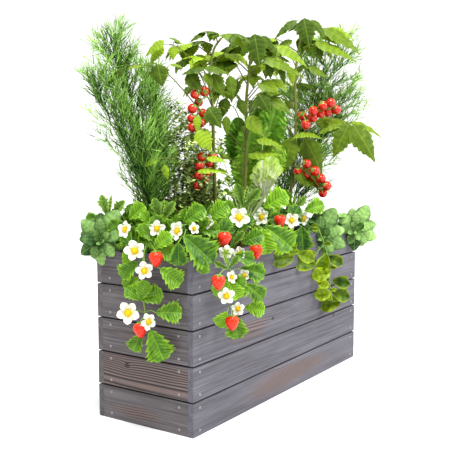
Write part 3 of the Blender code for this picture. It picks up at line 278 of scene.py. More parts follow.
@dataclass(frozen=True)
class LeafCut:
    """How one kind of leaf is cut and worked.

    Places along the leaf are shares of its length. The outline pairs them with shares of the
    half width. Lean is how far the side veins run forward, quilt how high the blade stands between
    them, ruffle how far its edge waves and blister how far its crumpled bumps rise, all as shares
    of the length.
    """

    outline: tuple[Spot, ...]
    aspect: float
    rows: int = 12
    columns: int = 3
    teeth: int = 0
    tooth: float = 0.0
    veins: int = 6
    lean: float = 0.3
    quilt: float = 0.0
    ruffle: float = 0.0
    blister: float = 0.0
    fold: float = 0.25
    droop: float = 0.4
    thick: float = 0.0005

    def grid(self) -> tuple[np.ndarray, np.ndarray, np.ndarray]:
        """Lays out the shares of the leaf's points.

        Returns:
            The three grids, which stretch to one another's sizes.
        """
        u = np.arange(self.rows + 1)[:, None] / self.rows
        s = np.linspace(-1.0, 1.0, 2 * self.columns + 1)[None, :]
        shares, widths = zip(*self.outline)
        return u, s, np.interp(u, shares, widths)

    def surface(self, length: float, fold: float, droop: float, phase: float) -> np.ndarray:
        """Shapes the middle surface of one leaf.

        Args:
            length: from foot to tip.
            fold: how steeply the halves rise from the midrib, in radians.
            droop: how far the tip has bent down, in radians.
            phase: where the waves of the edge start.

        Returns:
            A grid of points, rows along the leaf, with X along, Y across and Z up.
        """
        u, s, width = self.grid()
        half = width * self.aspect * length / 2
        edge = np.abs(s)
        reach = s * half
        x = u * length + self.lean * edge * half * np.sin(np.pi * np.minimum(u * 1.2, 1.0))
        if self.teeth:
            per_tooth = self.rows // self.teeth
            step = np.arange(self.rows + 1)[:, None]
            saw = (step % per_tooth) / (per_tooth - 1) - 0.4
            reach = reach * (1 + self.tooth * saw * edge ** 5)
            x = x + self.tooth * saw * edge ** 5 * length / self.rows
        rise = self.quilt * length * (np.abs(np.sin(np.pi * u * self.veins)) * np.sin(np.pi * edge)
                                      - 0.6 * np.exp(-(edge * 4) ** 2)) * np.sin(np.pi * u) ** 0.5
        wave = np.sin(2 * np.pi * (u * self.veins * 0.5) + phase + np.sign(s) * 1.3)
        rise = rise + self.ruffle * length * wave * edge ** 2 * np.sin(np.pi * u)
        bumps = (np.sin(2 * np.pi * u * self.veins * 1.3 + 2.4 * np.sin(5 * s + phase))
                 * np.sin(7.5 * s + 2.2 * np.sin(17 * u + phase)))
        rise = rise + self.blister * length * bumps * np.minimum(edge * 4, 1.0)
        rise = rise + np.abs(reach) * math.sin(fold)
        y = reach * math.cos(fold) + 0 * x
        bend = (droop or 1e-6) * x / length
        turn = length / (droop or 1e-6)
        return np.stack((turn * np.sin(bend) + np.sin(bend) * rise, y,
                         turn * (np.cos(bend) - 1) + np.cos(bend) * rise), 2)

    def marks(self, tint: float) -> np.ndarray:
        """Gives each point its share along, share across, tint and nearness to the edge.

        Args:
            tint: 0 for the darkest and 1 for the lightest.

        Returns:
            The marks, a row for each point.
        """
        u, s, width = self.grid()
        across = np.abs(s) * width
        flat = np.zeros_like(across)
        return np.stack((u + flat, across, tint + flat, np.abs(s) + flat), 2).reshape(-1, 4)


TOMATO_CUT = LeafCut(
    ((0.0, 0.12), (0.05, 0.4), (0.13, 0.84), (0.24, 1.0), (0.33, 0.94), (0.43, 0.78), (0.53, 0.74),
     (0.64, 0.58), (0.78, 0.34), (0.9, 0.15), (1.0, 0.02)),
    0.66, rows=28, columns=2, teeth=7, tooth=0.2, veins=7, lean=0.25, quilt=0.012, ruffle=0.016,
    fold=-0.2, droop=1.35)
TOMATO_SMALL_CUT = LeafCut(
    ((0.0, 0.12), (0.15, 0.8), (0.35, 1.0), (0.6, 0.75), (0.82, 0.35), (1.0, 0.03)),
    0.5, rows=16, columns=2, teeth=4, tooth=0.22, veins=4, lean=0.25, quilt=0.012, ruffle=0.02,
    fold=-0.2, droop=1.1)
STRAWBERRY_CUT = LeafCut(
    ((0.0, 0.05), (0.1, 0.34), (0.25, 0.7), (0.45, 0.97), (0.62, 1.0), (0.78, 0.9), (0.9, 0.66),
     (1.0, 0.22)),
    0.84, rows=32, columns=4, teeth=8, tooth=0.34, veins=8, lean=0.5, quilt=0.028, ruffle=0.03,
    fold=0.26, droop=0.45)
FILLER_CUT = replace(STRAWBERRY_CUT, rows=16, columns=3)
YOUNG_CUT = LeafCut(
    ((0.0, 0.05), (0.2, 0.34), (0.42, 0.76), (0.6, 1.0), (0.78, 0.86), (0.91, 0.5), (1.0, 0.06)),
    0.56, rows=24, columns=3, teeth=6, tooth=0.42, veins=6, lean=1.0, quilt=0.02, ruffle=0.006,
    fold=0.7, droop=-0.15)
SLIVER_CUT = replace(YOUNG_CUT, aspect=0.3, fold=1.0, droop=-0.2)
OREGANO_CUT = LeafCut(
    ((0.0, 0.06), (0.07, 0.36), (0.18, 0.74), (0.34, 0.96), (0.52, 1.0), (0.7, 0.9), (0.84, 0.68),
     (0.94, 0.42), (1.0, 0.14)),
    0.6, rows=20, columns=4, veins=5, lean=0.35, quilt=0.022, ruffle=0.006, fold=-0.16, droop=0.55)
CREEPER_CUT = LeafCut(
    ((0.0, 0.1), (0.1, 0.55), (0.3, 0.94), (0.5, 1.0), (0.72, 0.8), (0.9, 0.4), (1.0, 0.06)),
    0.84, rows=16, columns=4, veins=4, lean=0.35, quilt=0.018, ruffle=0.04, fold=0.42, droop=0.4)
LETTUCE_CUT = LeafCut(
    ((0.0, 0.16), (0.15, 0.22), (0.3, 0.46), (0.44, 0.82), (0.6, 1.0), (0.78, 0.94), (0.92, 0.66),
     (1.0, 0.16)),
    0.5, rows=60, columns=9, teeth=15, tooth=0.2, veins=9, lean=0.75, quilt=0.006, ruffle=0.034,
    blister=0.017, fold=0.3, droop=-0.25, thick=0.0007)
HEART_CUT = LeafCut(
    ((0.0, 0.22), (0.2, 0.34), (0.4, 0.56), (0.6, 0.8), (0.78, 0.98), (0.9, 1.0), (0.97, 0.8),
     (1.0, 0.35)),
    0.5, rows=40, columns=6, teeth=10, tooth=0.14, veins=4, lean=1.3, quilt=0.012, ruffle=0.045,
    blister=0.01, fold=0.25, droop=-0.45)
SHOOT_CUT = replace(LETTUCE_CUT, aspect=0.6, rows=10, columns=2, teeth=5, veins=5)
PETAL_CUT = LeafCut(
    ((0.0, 0.22), (0.1, 0.5), (0.26, 0.82), (0.46, 1.0), (0.66, 0.97), (0.84, 0.72), (0.94, 0.42),
     (1.0, 0.12)),
    0.9, rows=12, columns=4, veins=5, lean=0.0, quilt=0.045, ruffle=0.11, fold=0.24, droop=-0.5)
SEPAL_CUT = LeafCut(((0.0, 0.5), (0.25, 1.0), (0.6, 0.6), (1.0, 0.04)), 0.42, rows=6, columns=1,
                    veins=2)


class Number:
    """A number that a material's nodes work out. Sums on it add nodes."""

    def __init__(self, recipe: Recipe, socket: bpy.types.NodeSocket) -> None:
        """Keeps the recipe that sums join and the socket that gives the number."""
        self.recipe = recipe
        self.socket = socket

    def math(self, operation: str, *others: Number | float, clamp: bool = False) -> Number:
        """The result of one of Blender's sums on this and other numbers."""
        return self.recipe.math(operation, self, *others, clamp=clamp)

    def __add__(self, other: Number | float) -> Number:
        """This plus the other."""
        return self.math("ADD", other)

    def __sub__(self, other: Number | float) -> Number:
        """This less the other."""
        return self.math("SUBTRACT", other)

    def __mul__(self, other: Number | float) -> Number:
        """This times the other."""
        return self.math("MULTIPLY", other)

    def __truediv__(self, other: float) -> Number:
        """This over the other."""
        return self.math("DIVIDE", other)

    def __pow__(self, other: float) -> Number:
        """This to the power of the other."""
        return self.math("POWER", other)

    def line(self, slope: float, start: float) -> Number:
        """This times a slope, plus a start."""
        return self.math("MULTIPLY_ADD", slope, start)

    def ease(self, low: float, high: float) -> Number:
        """A number that rises smoothly from 0 at low to 1 at high, or falls where high is less.

        Args:
            low: where it is 0.
            high: where it is 1.

        Returns:
            The number.
        """
        rising = low < high
        inputs = {"Value": self, "From Min": min(low, high), "From Max": max(low, high),
                  "To Min": 0.0 if rising else 1.0, "To Max": 1.0 if rising else 0.0}
        outputs = self.recipe.node("MapRange", inputs, interpolation_type="SMOOTHSTEP")
        return Number(self.recipe, outputs["Result"])


class Recipe:
    """A material's node tree, put together one node at a time."""

    def __init__(self, name: str, roughness: float, metallic: float = 0.0,
                 specular: float = 0.5) -> None:
        """Starts a material with one shader.

        Args:
            name: the material's name.
            roughness: the shader's roughness.
            metallic: how far it is a metal.
            specular: its reflection straight on.
        """
        self.material = bpy.data.materials.new(name)
        self.material.use_nodes = True
        self.tree = self.material.node_tree
        self.shader = self.tree.nodes["Principled BSDF"]
        self.set({"Roughness": roughness, "Metallic": metallic, "Specular IOR Level": specular})

    def feed(self, socket: bpy.types.NodeSocket, value: object) -> None:
        """Links a socket to a number or colour of the tree, or sets it to a plain one.

        Args:
            socket: the socket.
            value: what feeds it.
        """
        value = value.socket if isinstance(value, Number) else value
        if isinstance(value, bpy.types.NodeSocket):
            self.tree.links.new(value, socket)
        elif isinstance(value, tuple) and len(value) == 3 and socket.type == "RGBA":
            socket.default_value = (*value, 1.0)
        else:
            socket.default_value = value

    def set(self, inputs: dict[str, object]) -> None:
        """Feeds the shader's inputs, by name."""
        for name, value in inputs.items():
            self.feed(self.shader.inputs[name], value)

    def node(self, kind: str, inputs: dict, **settings: object) -> bpy.types.NodeOutputs:
        """Adds a node to the tree.

        Args:
            kind: the kind of node, as Blender calls it.
            inputs: what feeds its inputs, by their names or numbers.
            settings: its own settings.

        Returns:
            Its outputs.
        """
        node = self.tree.nodes.new("ShaderNode" + kind)
        for name, value in settings.items():
            setattr(node, name, value)
        for key, value in inputs.items():
            self.feed(node.inputs[key], value)
        return node.outputs

    def math(self, operation: str, *parts: Number | float, clamp: bool = False) -> Number:
        """The result of one of Blender's sums on up to three numbers, held within 0 to 1 or not."""
        inputs = dict(enumerate((*parts, 0.0, 0.0)[:3]))
        return Number(self, self.node("Math", inputs, operation=operation, use_clamp=clamp)[0])

    def mix(self, share: Number, first: object, second: object) -> bpy.types.NodeSocket:
        """The mix of two colours, with a share of the second."""
        return self.node("Mix", {0: share, 6: first, 7: second}, data_type="RGBA")[2]

    def place(self, turn: float = 0.0, shift: Place = (0.0, 0.0, 0.0),
              scale: float = 1.0) -> bpy.types.NodeSocket:
        """The place on the object, turned about Z, scaled and shifted.

        Args:
            turn: the turn in radians.
            shift: the shift.
            scale: the scale.

        Returns:
            The place.
        """
        source = self.node("TexCoord", {})["Object"]
        return self.node("Mapping", {"Vector": source, "Location": shift,
                                     "Rotation": (0.0, 0.0, turn), "Scale": (scale,) * 3})[0]

    def noise(self, place: bpy.types.NodeSocket, scale: float | Place, detail: float = 2.0,
              roughness: float = 0.5) -> Number:
        """A cloudy number between 0 and 1, finer with more scale, which may differ by axis.

        Args:
            place: where it is read.
            scale: how fine it is, by axis or at once.
            detail: how many finer clouds join it.
            roughness: how strong those are.

        Returns:
            The number.
        """
        if isinstance(scale, tuple):
            place = self.node("VectorMath", {0: place, 1: scale}, operation="MULTIPLY")[0]
            scale = 1.0
        return Number(self, self.node("TexNoise", {"Vector": place, "Scale": scale,
                                                   "Detail": detail, "Roughness": roughness})[0])

    def split(self, place: bpy.types.NodeSocket) -> list[Number]:
        """The three numbers of a place or colour."""
        return [Number(self, socket) for socket in self.node("SeparateXYZ", {0: place})]

    def leaf_marks(self) -> list[Number]:
        """A growing piece's marks: share along, share across, tint and nearness to the edge."""
        marks = self.node("Attribute", {}, attribute_name=LEAF_MARK)
        return self.split(marks["Vector"]) + [Number(self, marks["Alpha"])]

    def finish(self, colour: object, height: Number | None = None, strength: float = 0.0,
               distance: float = 0.0) -> bpy.types.Material:
        """Gives the shader its colour and its relief.

        Args:
            colour: a colour of the tree.
            height: how high the relief stands.
            strength: how far the relief shows.
            distance: its depth.

        Returns:
            The material.
        """
        self.set({"Base Color": colour})
        if height:
            self.set({"Normal": self.node("Bump", {"Strength": strength, "Distance": distance,
                                                   "Height": height})["Normal"]})
        return self.material


def shade(colour: Colour, share: float) -> Colour:
    """A colour times a share."""
    return tuple(part * share for part in colour)


def ellipse(run: Number, across: Number, centre: Spot, half: Spot) -> Number:
    """How far a place on a board is from a centre, where 1 is on the ellipse of the half sizes.

    Args:
        run: the place along the board.
        across: the place across it.
        centre: the centre.
        half: the half sizes.

    Returns:
        The distance.
    """
    far = ((run - centre[0]) / half[0]) ** 2.0
    near = ((across - centre[1]) / half[1]) ** 2.0
    return (far + near).math("SQRT")


@dataclass(frozen=True)
class StainedPine:
    """The boards' finish: pine under a thin grey-violet stain that lets the grain show.

    Knots are (along the board, across it, radius), and patches where the stain has worn to the
    brown of the wood (along, across, half length, half width). Warmth is how far the brown comes
    through elsewhere, and grain how dark the growth rings are.
    """

    name: str
    along_y: bool
    middle: float
    face: float
    seed: float
    light: Colour
    dark: Colour
    warmth: float
    grain: float
    pith: Spot
    knots: tuple[Place, ...]
    patches: tuple[Row, ...]
    warm: Colour = (0.168, 0.122, 0.112)
    knot_brown: Colour = (0.045, 0.026, 0.022)
    rings: float = 210.0

    def material(self) -> bpy.types.Material:
        """Makes the board's material.

        Returns:
            The material.
        """
        recipe = Recipe(self.name, 0.68, specular=0.3)
        turn = -math.pi / 2 if self.along_y else 0.0
        run, depth, across = recipe.split(recipe.place(turn, (0.0, 0.0, -self.middle)))
        seeded = recipe.place(turn, (self.seed, self.seed * 0.37, -self.middle))
        sway = (recipe.noise(seeded, (1.6, 9.0, 9.0)) - 0.5) * 0.045
        off = (across - self.pith[0]) + sway
        knotted = None
        for knot_run, knot_across, radius in self.knots:
            reach = ellipse(run, across, (knot_run, knot_across), (radius * 1.5, radius))
            off = off + recipe.math("DIVIDE", radius * 1.1, reach + 0.6)
            spot = reach.ease(1.15, 0.55)
            knotted = spot if knotted is None else knotted.math("MAXIMUM", spot)
        inward = -1.0 if self.face > 0 else 1.0
        deep = depth.line(inward, self.pith[1] - self.face * inward)
        ring = ((off ** 2.0 + deep ** 2.0).math("SQRT") * self.rings).math("FRACT")
        late = ring.ease(0.3, 0.8) * ring.ease(1.0, 0.86)
        fibre = recipe.noise(seeded, (7.0, 260.0, 260.0), 3.0, 0.65)
        streak = recipe.noise(seeded, (2.5, 38.0, 38.0), 3.0, 0.6)
        cloud = recipe.noise(seeded, (3.0, 9.0, 9.0), 3.0, 0.55)
        tone = fibre * 0.45 + streak * 0.55
        colour = recipe.mix(tone.ease(0.32, 0.68), self.dark, self.light)
        bare = cloud.ease(0.6, 0.9) * (self.warmth * 2.0)
        for patch_run, patch_across, half_length, half_width in self.patches:
            reach = ellipse(run, across, (patch_run, patch_across), (half_length, half_width))
            bare = bare.math("MAXIMUM", (reach + streak.line(1.3, -0.65)).ease(1.15, 0.45))
        bare = bare.math("MULTIPLY", fibre.line(0.7, 0.45), clamp=True)
        colour = recipe.mix(bare, colour, self.warm)
        ring_brown = shade(self.dark, 0.38)
        colour = recipe.mix(late * (bare * self.grain + self.grain * 0.6), colour, ring_brown)
        if knotted:
            colour = recipe.mix(knotted * 0.85, colour, self.knot_brown)
        # Painted shade: each board's long edges darken a little towards the gaps between the boards.
        rim = across.math("ABSOLUTE").ease(0.0448, 0.0474)
        colour = recipe.mix(rim * 0.15, colour, ring_brown)
        return recipe.finish(colour, fibre * 0.8 - late * 0.5, 0.35, 0.0006)


@dataclass(frozen=True)
class InnerTimber:
    """Sawn spruce of the posts, bearers and floor slats inside the bed."""

    light: Colour = (0.52, 0.38, 0.24)
    dark: Colour = (0.34, 0.22, 0.12)

    def material(self) -> bpy.types.Material:
        """Makes the timber's material.

        Returns:
            The material.
        """
        recipe = Recipe("inner_timber", 0.8, specular=0.2)
        place = recipe.place()
        tone = (recipe.noise(place, (30.0, 30.0, 30.0), 4.0, 0.7) * 0.4
                + recipe.noise(place, (3.0, 60.0, 60.0), 3.0, 0.6) * 0.6)
        colour = recipe.mix(tone.ease(0.35, 0.65), self.dark, self.light)
        return recipe.finish(colour, tone, 0.3, 0.0006)


@dataclass(frozen=True)
class Membrane:
    """The woven black liner."""

    colour: Colour = (0.018, 0.018, 0.02)

    def material(self) -> bpy.types.Material:
        """Makes the liner's material, with a fine weave.

        Returns:
            The material.
        """
        recipe = Recipe("membrane", 0.7, specular=0.3)
        x, y, z = recipe.split(recipe.place(scale=1500.0))
        weave = (x + y).math("SINE") * z.math("SINE")
        colour = recipe.mix(weave.ease(-1.0, 1.0), self.colour, shade(self.colour, 2.2))
        return recipe.finish(colour, weave, 0.4, 0.0003)


@dataclass(frozen=True)
class Earth:
    """Dark crumbly potting soil."""

    dark: Colour = (0.02, 0.012, 0.008)
    light: Colour = (0.085, 0.052, 0.032)

    def material(self) -> bpy.types.Material:
        """Makes the soil's material.

        Returns:
            The material.
        """
        recipe = Recipe("earth", 0.95, specular=0.15)
        place = recipe.place()
        crumb = recipe.noise(place, 190.0, 4.0, 0.7)
        tone = crumb * 0.6 + recipe.noise(place, 22.0, 3.0) * 0.4
        colour = recipe.mix(tone.ease(0.35, 0.68), self.dark, self.light)
        return recipe.finish(colour, crumb, 0.8, 0.002)


@dataclass(frozen=True)
class Steel:
    """Bright zinc-plated screws."""

    colour: Colour = (0.32, 0.31, 0.32)

    def material(self) -> bpy.types.Material:
        """Makes the screws' material, faintly brushed and spotted.

        Returns:
            The material.
        """
        recipe = Recipe("zinc_steel", 0.45, metallic=0.8)
        spots = recipe.noise(recipe.place(), 900.0)
        return recipe.finish(recipe.mix(spots.ease(0.4, 0.75), self.colour,
                                        shade(self.colour, 0.6)))


@dataclass(frozen=True)
class LeafFinish:
    """A leaf's finish: its greens, its veins and its edge, which follow the leaf's own marks.

    Vein and rim strengths are how far their colours show. Crease shade is painted shade in the
    valleys beside the side veins; the under colour of the lower face is partly its own paler green
    and partly painted light that shines through the leaf.
    """

    dark: Colour
    light: Colour
    vein: Colour
    veins: int
    vein_strength: float = 0.45
    vein_width: float = 0.16
    midrib: float = 0.05
    crease_shade: float = 0.0
    cloud: float = 0.5
    rim: Colour = (0.3, 0.5, 0.1)
    rim_strength: float = 0.0
    foot: Colour = (0.6, 0.7, 0.35)
    foot_reach: float = 0.0
    under: Colour = (0.22, 0.34, 0.12)
    roughness: float = 0.45
    specular: float = 0.35
    relief: float = 0.5

    def material(self, name: str) -> bpy.types.Material:
        """Makes the leaf's material, under a name.

        Args:
            name: the name.

        Returns:
            The material.
        """
        recipe = Recipe(name, self.roughness, specular=self.specular)
        u, across, tone, edge = recipe.leaf_marks()
        below = tone.math("GREATER_THAN", 0.99)
        tint = tone.math("SUBTRACT", below, clamp=True)
        cloud = recipe.noise(recipe.place(), 55.0)
        tint = tint.math("ADD", (cloud - 0.5) * self.cloud, clamp=True)
        colour = recipe.mix(tint, self.dark, self.light)
        nearest_vein = ((u * float(self.veins) + 0.5).math("FRACT") - 0.5).math("ABSOLUTE")
        side_vein = nearest_vein.ease(self.vein_width, 0.0) * edge.ease(1.0, 0.55)
        middle = across.ease(self.midrib * 2.2, self.midrib * 0.6)
        vein = (side_vein * 0.75).math("MAXIMUM", middle)
        # Painted shade: the blade darkens in the valleys beside the side veins.
        if self.crease_shade:
            colour = recipe.mix(nearest_vein.ease(0.42, 0.04) * self.crease_shade, colour, self.dark)
        if self.foot_reach:
            pale = u.ease(self.foot_reach, self.foot_reach * 0.35)
            colour = recipe.mix(pale, colour, self.foot)
        colour = recipe.mix(vein * self.vein_strength, colour, self.vein)
        # The rim colour shows at the edge; on the oregano it is a dark painted shade.
        if self.rim_strength:
            colour = recipe.mix(edge.ease(0.62, 0.96) * self.rim_strength, colour, self.rim)
        # The lower face takes the under colour: partly its own paler green, partly painted light shining
        # through the leaf.
        colour = recipe.mix(below * 0.55, colour, self.under)
        return recipe.finish(colour, vein * -1.0, self.relief, 0.0006)


@dataclass(frozen=True)
class PlainFinish:
    """A clouded finish of two tones, from the foot of a stalk, fruit or petal to its tip."""

    start: Colour
    end: Colour
    roughness: float = 0.45
    specular: float = 0.4
    cloud: float = 0.35
    scale: float = 80.0
    relief: float = 0.2
    coat: float = 0.0
    glow: float = 0.0

    def material(self, name: str) -> bpy.types.Material:
        """Makes the material, under a name.

        Args:
            name: the name.

        Returns:
            The material.
        """
        recipe = Recipe(name, self.roughness, specular=self.specular)
        noise = recipe.noise(recipe.place(), self.scale, 3.0)
        share = recipe.leaf_marks()[0].math("ADD", (noise - 0.5) * (self.cloud * 2), clamp=True)
        recipe.set({"Coat Weight": self.coat, "Coat Roughness": 0.12,
                    "Subsurface Weight": self.glow, "Subsurface Radius": (0.004, 0.002, 0.001)})
        return recipe.finish(recipe.mix(share, self.start, self.end), noise, self.relief, 0.0004)


class Dress(Enum):
    """The finishes of the growing pieces, named for their materials."""

    STRAWBERRY_LEAF = LeafFinish(
        (0.01, 0.066, 0.0015), (0.23, 0.44, 0.014), (0.32, 0.54, 0.06), STRAWBERRY_CUT.veins,
        vein_strength=0.3, vein_width=0.08, midrib=0.03, crease_shade=0.52, cloud=1.1,
        rim=(0.34, 0.56, 0.03), rim_strength=0.38, under=(0.14, 0.3, 0.04),
        roughness=0.42, specular=0.32)
    STRAWBERRY_YOUNG_LEAF = LeafFinish(
        (0.014, 0.09, 0.002), (0.5, 0.68, 0.18), (0.34, 0.58, 0.08), YOUNG_CUT.veins,
        vein_strength=0.5, vein_width=0.11, midrib=0.045, crease_shade=0.5,
        rim=(0.36, 0.6, 0.06), rim_strength=0.35, under=(0.24, 0.44, 0.04),
        roughness=0.4, specular=0.3)
    # The petal's grey-green foot is partly its own greenish base and partly painted shade near the heart.
    STRAWBERRY_PETAL = PlainFinish((0.52, 0.58, 0.36), (0.76, 0.76, 0.74), 0.6, 0.2, 0.12, 40.0)
    STRAWBERRY_FLOWER_HEART = PlainFinish((0.66, 0.36, 0.004), (0.66, 0.5, 0.02), 0.7, 0.1, 0.5,
                                          900.0, 0.6)
    STRAWBERRY_SKIN = PlainFinish((0.62, 0.036, 0.006), (0.52, 0.008, 0.002), 0.35, 0.3, 0.25,
                                  60.0, 0.1, 0.2, 0.1)
    STRAWBERRY_SEED = PlainFinish((0.7, 0.42, 0.08), (0.78, 0.55, 0.14), 0.5)
    GREEN_STALK = PlainFinish((0.14, 0.27, 0.03), (0.24, 0.4, 0.06), 0.5)
    TOMATO_LEAF = LeafFinish(
        (0.03, 0.062, 0.0008), (0.25, 0.37, 0.02), (0.26, 0.36, 0.04), TOMATO_CUT.veins,
        vein_strength=0.28, vein_width=0.07, midrib=0.03, crease_shade=0.3,
        rim=(0.26, 0.42, 0.01), rim_strength=0.1, under=(0.22, 0.34, 0.014), roughness=0.5,
        specular=0.22)
    TOMATO_STEM = PlainFinish((0.085, 0.07, 0.018), (0.15, 0.2, 0.03), 0.6, 0.3, 0.3)
    TOMATO_SKIN = PlainFinish((0.52, 0.022, 0.003), (0.38, 0.004, 0.001), 0.2, 0.4, 0.3, 35.0,
                              0.03, 0.5, 0.05)
    # Its dark rim is painted shade that parts the crowded leaves.
    OREGANO_LEAF = LeafFinish(
        (0.02, 0.066, 0.011), (0.3, 0.49, 0.15), (0.48, 0.68, 0.3), OREGANO_CUT.veins,
        vein_strength=0.3, vein_width=0.06, midrib=0.028, crease_shade=0.24, cloud=0.8,
        rim=(0.008, 0.045, 0.006), rim_strength=0.55, under=(0.08, 0.19, 0.04),
        roughness=0.6, specular=0.2, relief=0.8)
    CREEPER_LEAF = LeafFinish(
        (0.014, 0.05, 0.001), (0.22, 0.32, 0.004), (0.2, 0.3, 0.02), CREEPER_CUT.veins,
        vein_strength=0.2, vein_width=0.09, crease_shade=0.3, rim=(0.36, 0.46, 0.008),
        rim_strength=0.42, cloud=1.2, under=(0.16, 0.26, 0.01), roughness=0.4, specular=0.2)
    LETTUCE_LEAF = LeafFinish(
        (0.045, 0.19, 0.01), (0.42, 0.64, 0.08), (0.56, 0.76, 0.26), LETTUCE_CUT.veins,
        vein_strength=0.3, vein_width=0.08, midrib=0.035, crease_shade=0.35,
        rim=(0.2, 0.46, 0.03), rim_strength=0.3, foot=(0.66, 0.8, 0.34),
        foot_reach=0.42, under=(0.16, 0.34, 0.04), specular=0.2)
    LETTUCE_HEART = LeafFinish(
        (0.5, 0.74, 0.12), (0.78, 0.92, 0.34), (0.95, 0.98, 0.78), HEART_CUT.veins,
        vein_strength=0.9, vein_width=0.12, midrib=0.12, crease_shade=0.35,
        rim=(0.46, 0.72, 0.06), rim_strength=0.6, foot=(0.96, 0.98, 0.82),
        foot_reach=0.85, under=(0.8, 0.92, 0.44), specular=0.3)
    LETTUCE_RIB = PlainFinish((0.86, 0.93, 0.66), (0.74, 0.86, 0.42), 0.4)
    THYME_LEAF = LeafFinish(
        (0.012, 0.052, 0.005), (0.74, 0.92, 0.34), (0.14, 0.24, 0.06), 1,
        vein_strength=0.0, under=(0.14, 0.24, 0.05), roughness=0.5, specular=0.2)
    THYME_TWIG = PlainFinish((0.15, 0.12, 0.05), (0.22, 0.3, 0.09), 0.75, 0.2, 0.4)
    DILL_THREAD = LeafFinish((0.005, 0.055, 0.003), (0.33, 0.56, 0.12), (0.2, 0.4, 0.1), 1,
                             vein_strength=0.0, roughness=0.5, specular=0.2)


@cache
def material_of(dress: Dress) -> bpy.types.Material:
    """The material of a finish, made the first time that it is asked for."""
    return dress.value.material(dress.name.lower())


@dataclass
class Walls:
    """The stained boards of the four walls.

    Each look is a board's (warmth, grain, pith, knots, patches), row by row from the ground.
    """

    violet: Colour = (0.15, 0.147, 0.172)
    violet_dark: Colour = (0.084, 0.08, 0.094)
    brown: Colour = (0.15, 0.14, 0.145)
    brown_dark: Colour = (0.074, 0.064, 0.066)
    long_looks: tuple = (
        (0.12, 0.55, (0.055, 0.022), (), ((0.02, 0.004, 0.3, 0.04),)),
        (0.07, 0.54, (0.02, 0.06), ((0.33, 0.042, 0.006),), ()),
        (0.07, 0.56, (-0.02, 0.05), ((-0.085, 0.008, 0.006),), ((-0.22, 0.0, 0.12, 0.03),)),
        (0.04, 0.2, (0.03, 0.09), (), ()),
        (0.05, 0.22, (-0.03, 0.07), (), ()))
    short_looks: tuple = (
        (0.14, 0.5, (0.02, 0.045), (), ((0.03, -0.015, 0.1, 0.022),)),
        (0.25, 0.85, (-0.03, 0.03), ((0.062, 0.02, 0.008),), ((0.0, 0.0, 0.3, 0.06),)),
        (0.14, 0.6, (0.01, 0.045), (), ((-0.02, 0.01, 0.1, 0.02),)),
        (0.05, 0.22, (-0.01, 0.08), (), ()),
        (0.04, 0.75, (0.02, 0.03), (), ()))

    def boards(self) -> list[StainedPine]:
        """The finish of each board, wall by wall and row by row from the ground.

        Returns:
            The finishes.
        """
        boards = []
        for side in Side:
            word, axis, sign = side.value
            face = sign * (WIDTH if axis == 0 else -LENGTH) / 2
            light, dark = ((self.violet, self.violet_dark) if side is Side.FRONT
                           else (self.brown, self.brown_dark))
            looks = self.long_looks if axis == 0 else self.short_looks
            for row, (warmth, grain, pith, knots, patches) in enumerate(looks):
                if sign == 1:
                    knots = tuple((-run * 0.7, across, radius) for run, across, radius in knots)
                boards.append(StainedPine(
                    f"{word}_board_{row + 1}", axis == 1, ROW_PITCH * row + BOARD_WIDTH / 2, face,
                    1.7 * row + 11.0 * axis + 5.0 * sign, light, dark, warmth, grain, pith, knots,
                    patches))
        return boards

    def build(self, nodes: dict[str, bpy.types.Object]) -> None:
        """Dresses every board.

        Args:
            nodes: the solids by name.
        """
        for board in self.boards():
            wear(nodes[board.name], board.material())
        log.info("boards: %d", 4 * ROWS)


@dataclass
class Inside:
    """The posts, floor and liner inside the bed."""

    posts: tuple[str, ...] = ("front_left", "front_right", "back_left", "back_right")

    def build(self, nodes: dict[str, bpy.types.Object]) -> None:
        """Dresses the inner timber and the liner.

        Args:
            nodes: the solids by name.
        """
        timber = InnerTimber().material()
        names = ["corner_post_" + place for place in self.posts]
        names += [f"floor_{kind}_{number}" for kind in ("bearer", "slat") for number in (1, 2, 3)]
        for name in names:
            wear(nodes[name], timber)
        wear(nodes["liner"], Membrane().material())
        log.info("posts, floor and liner dressed")


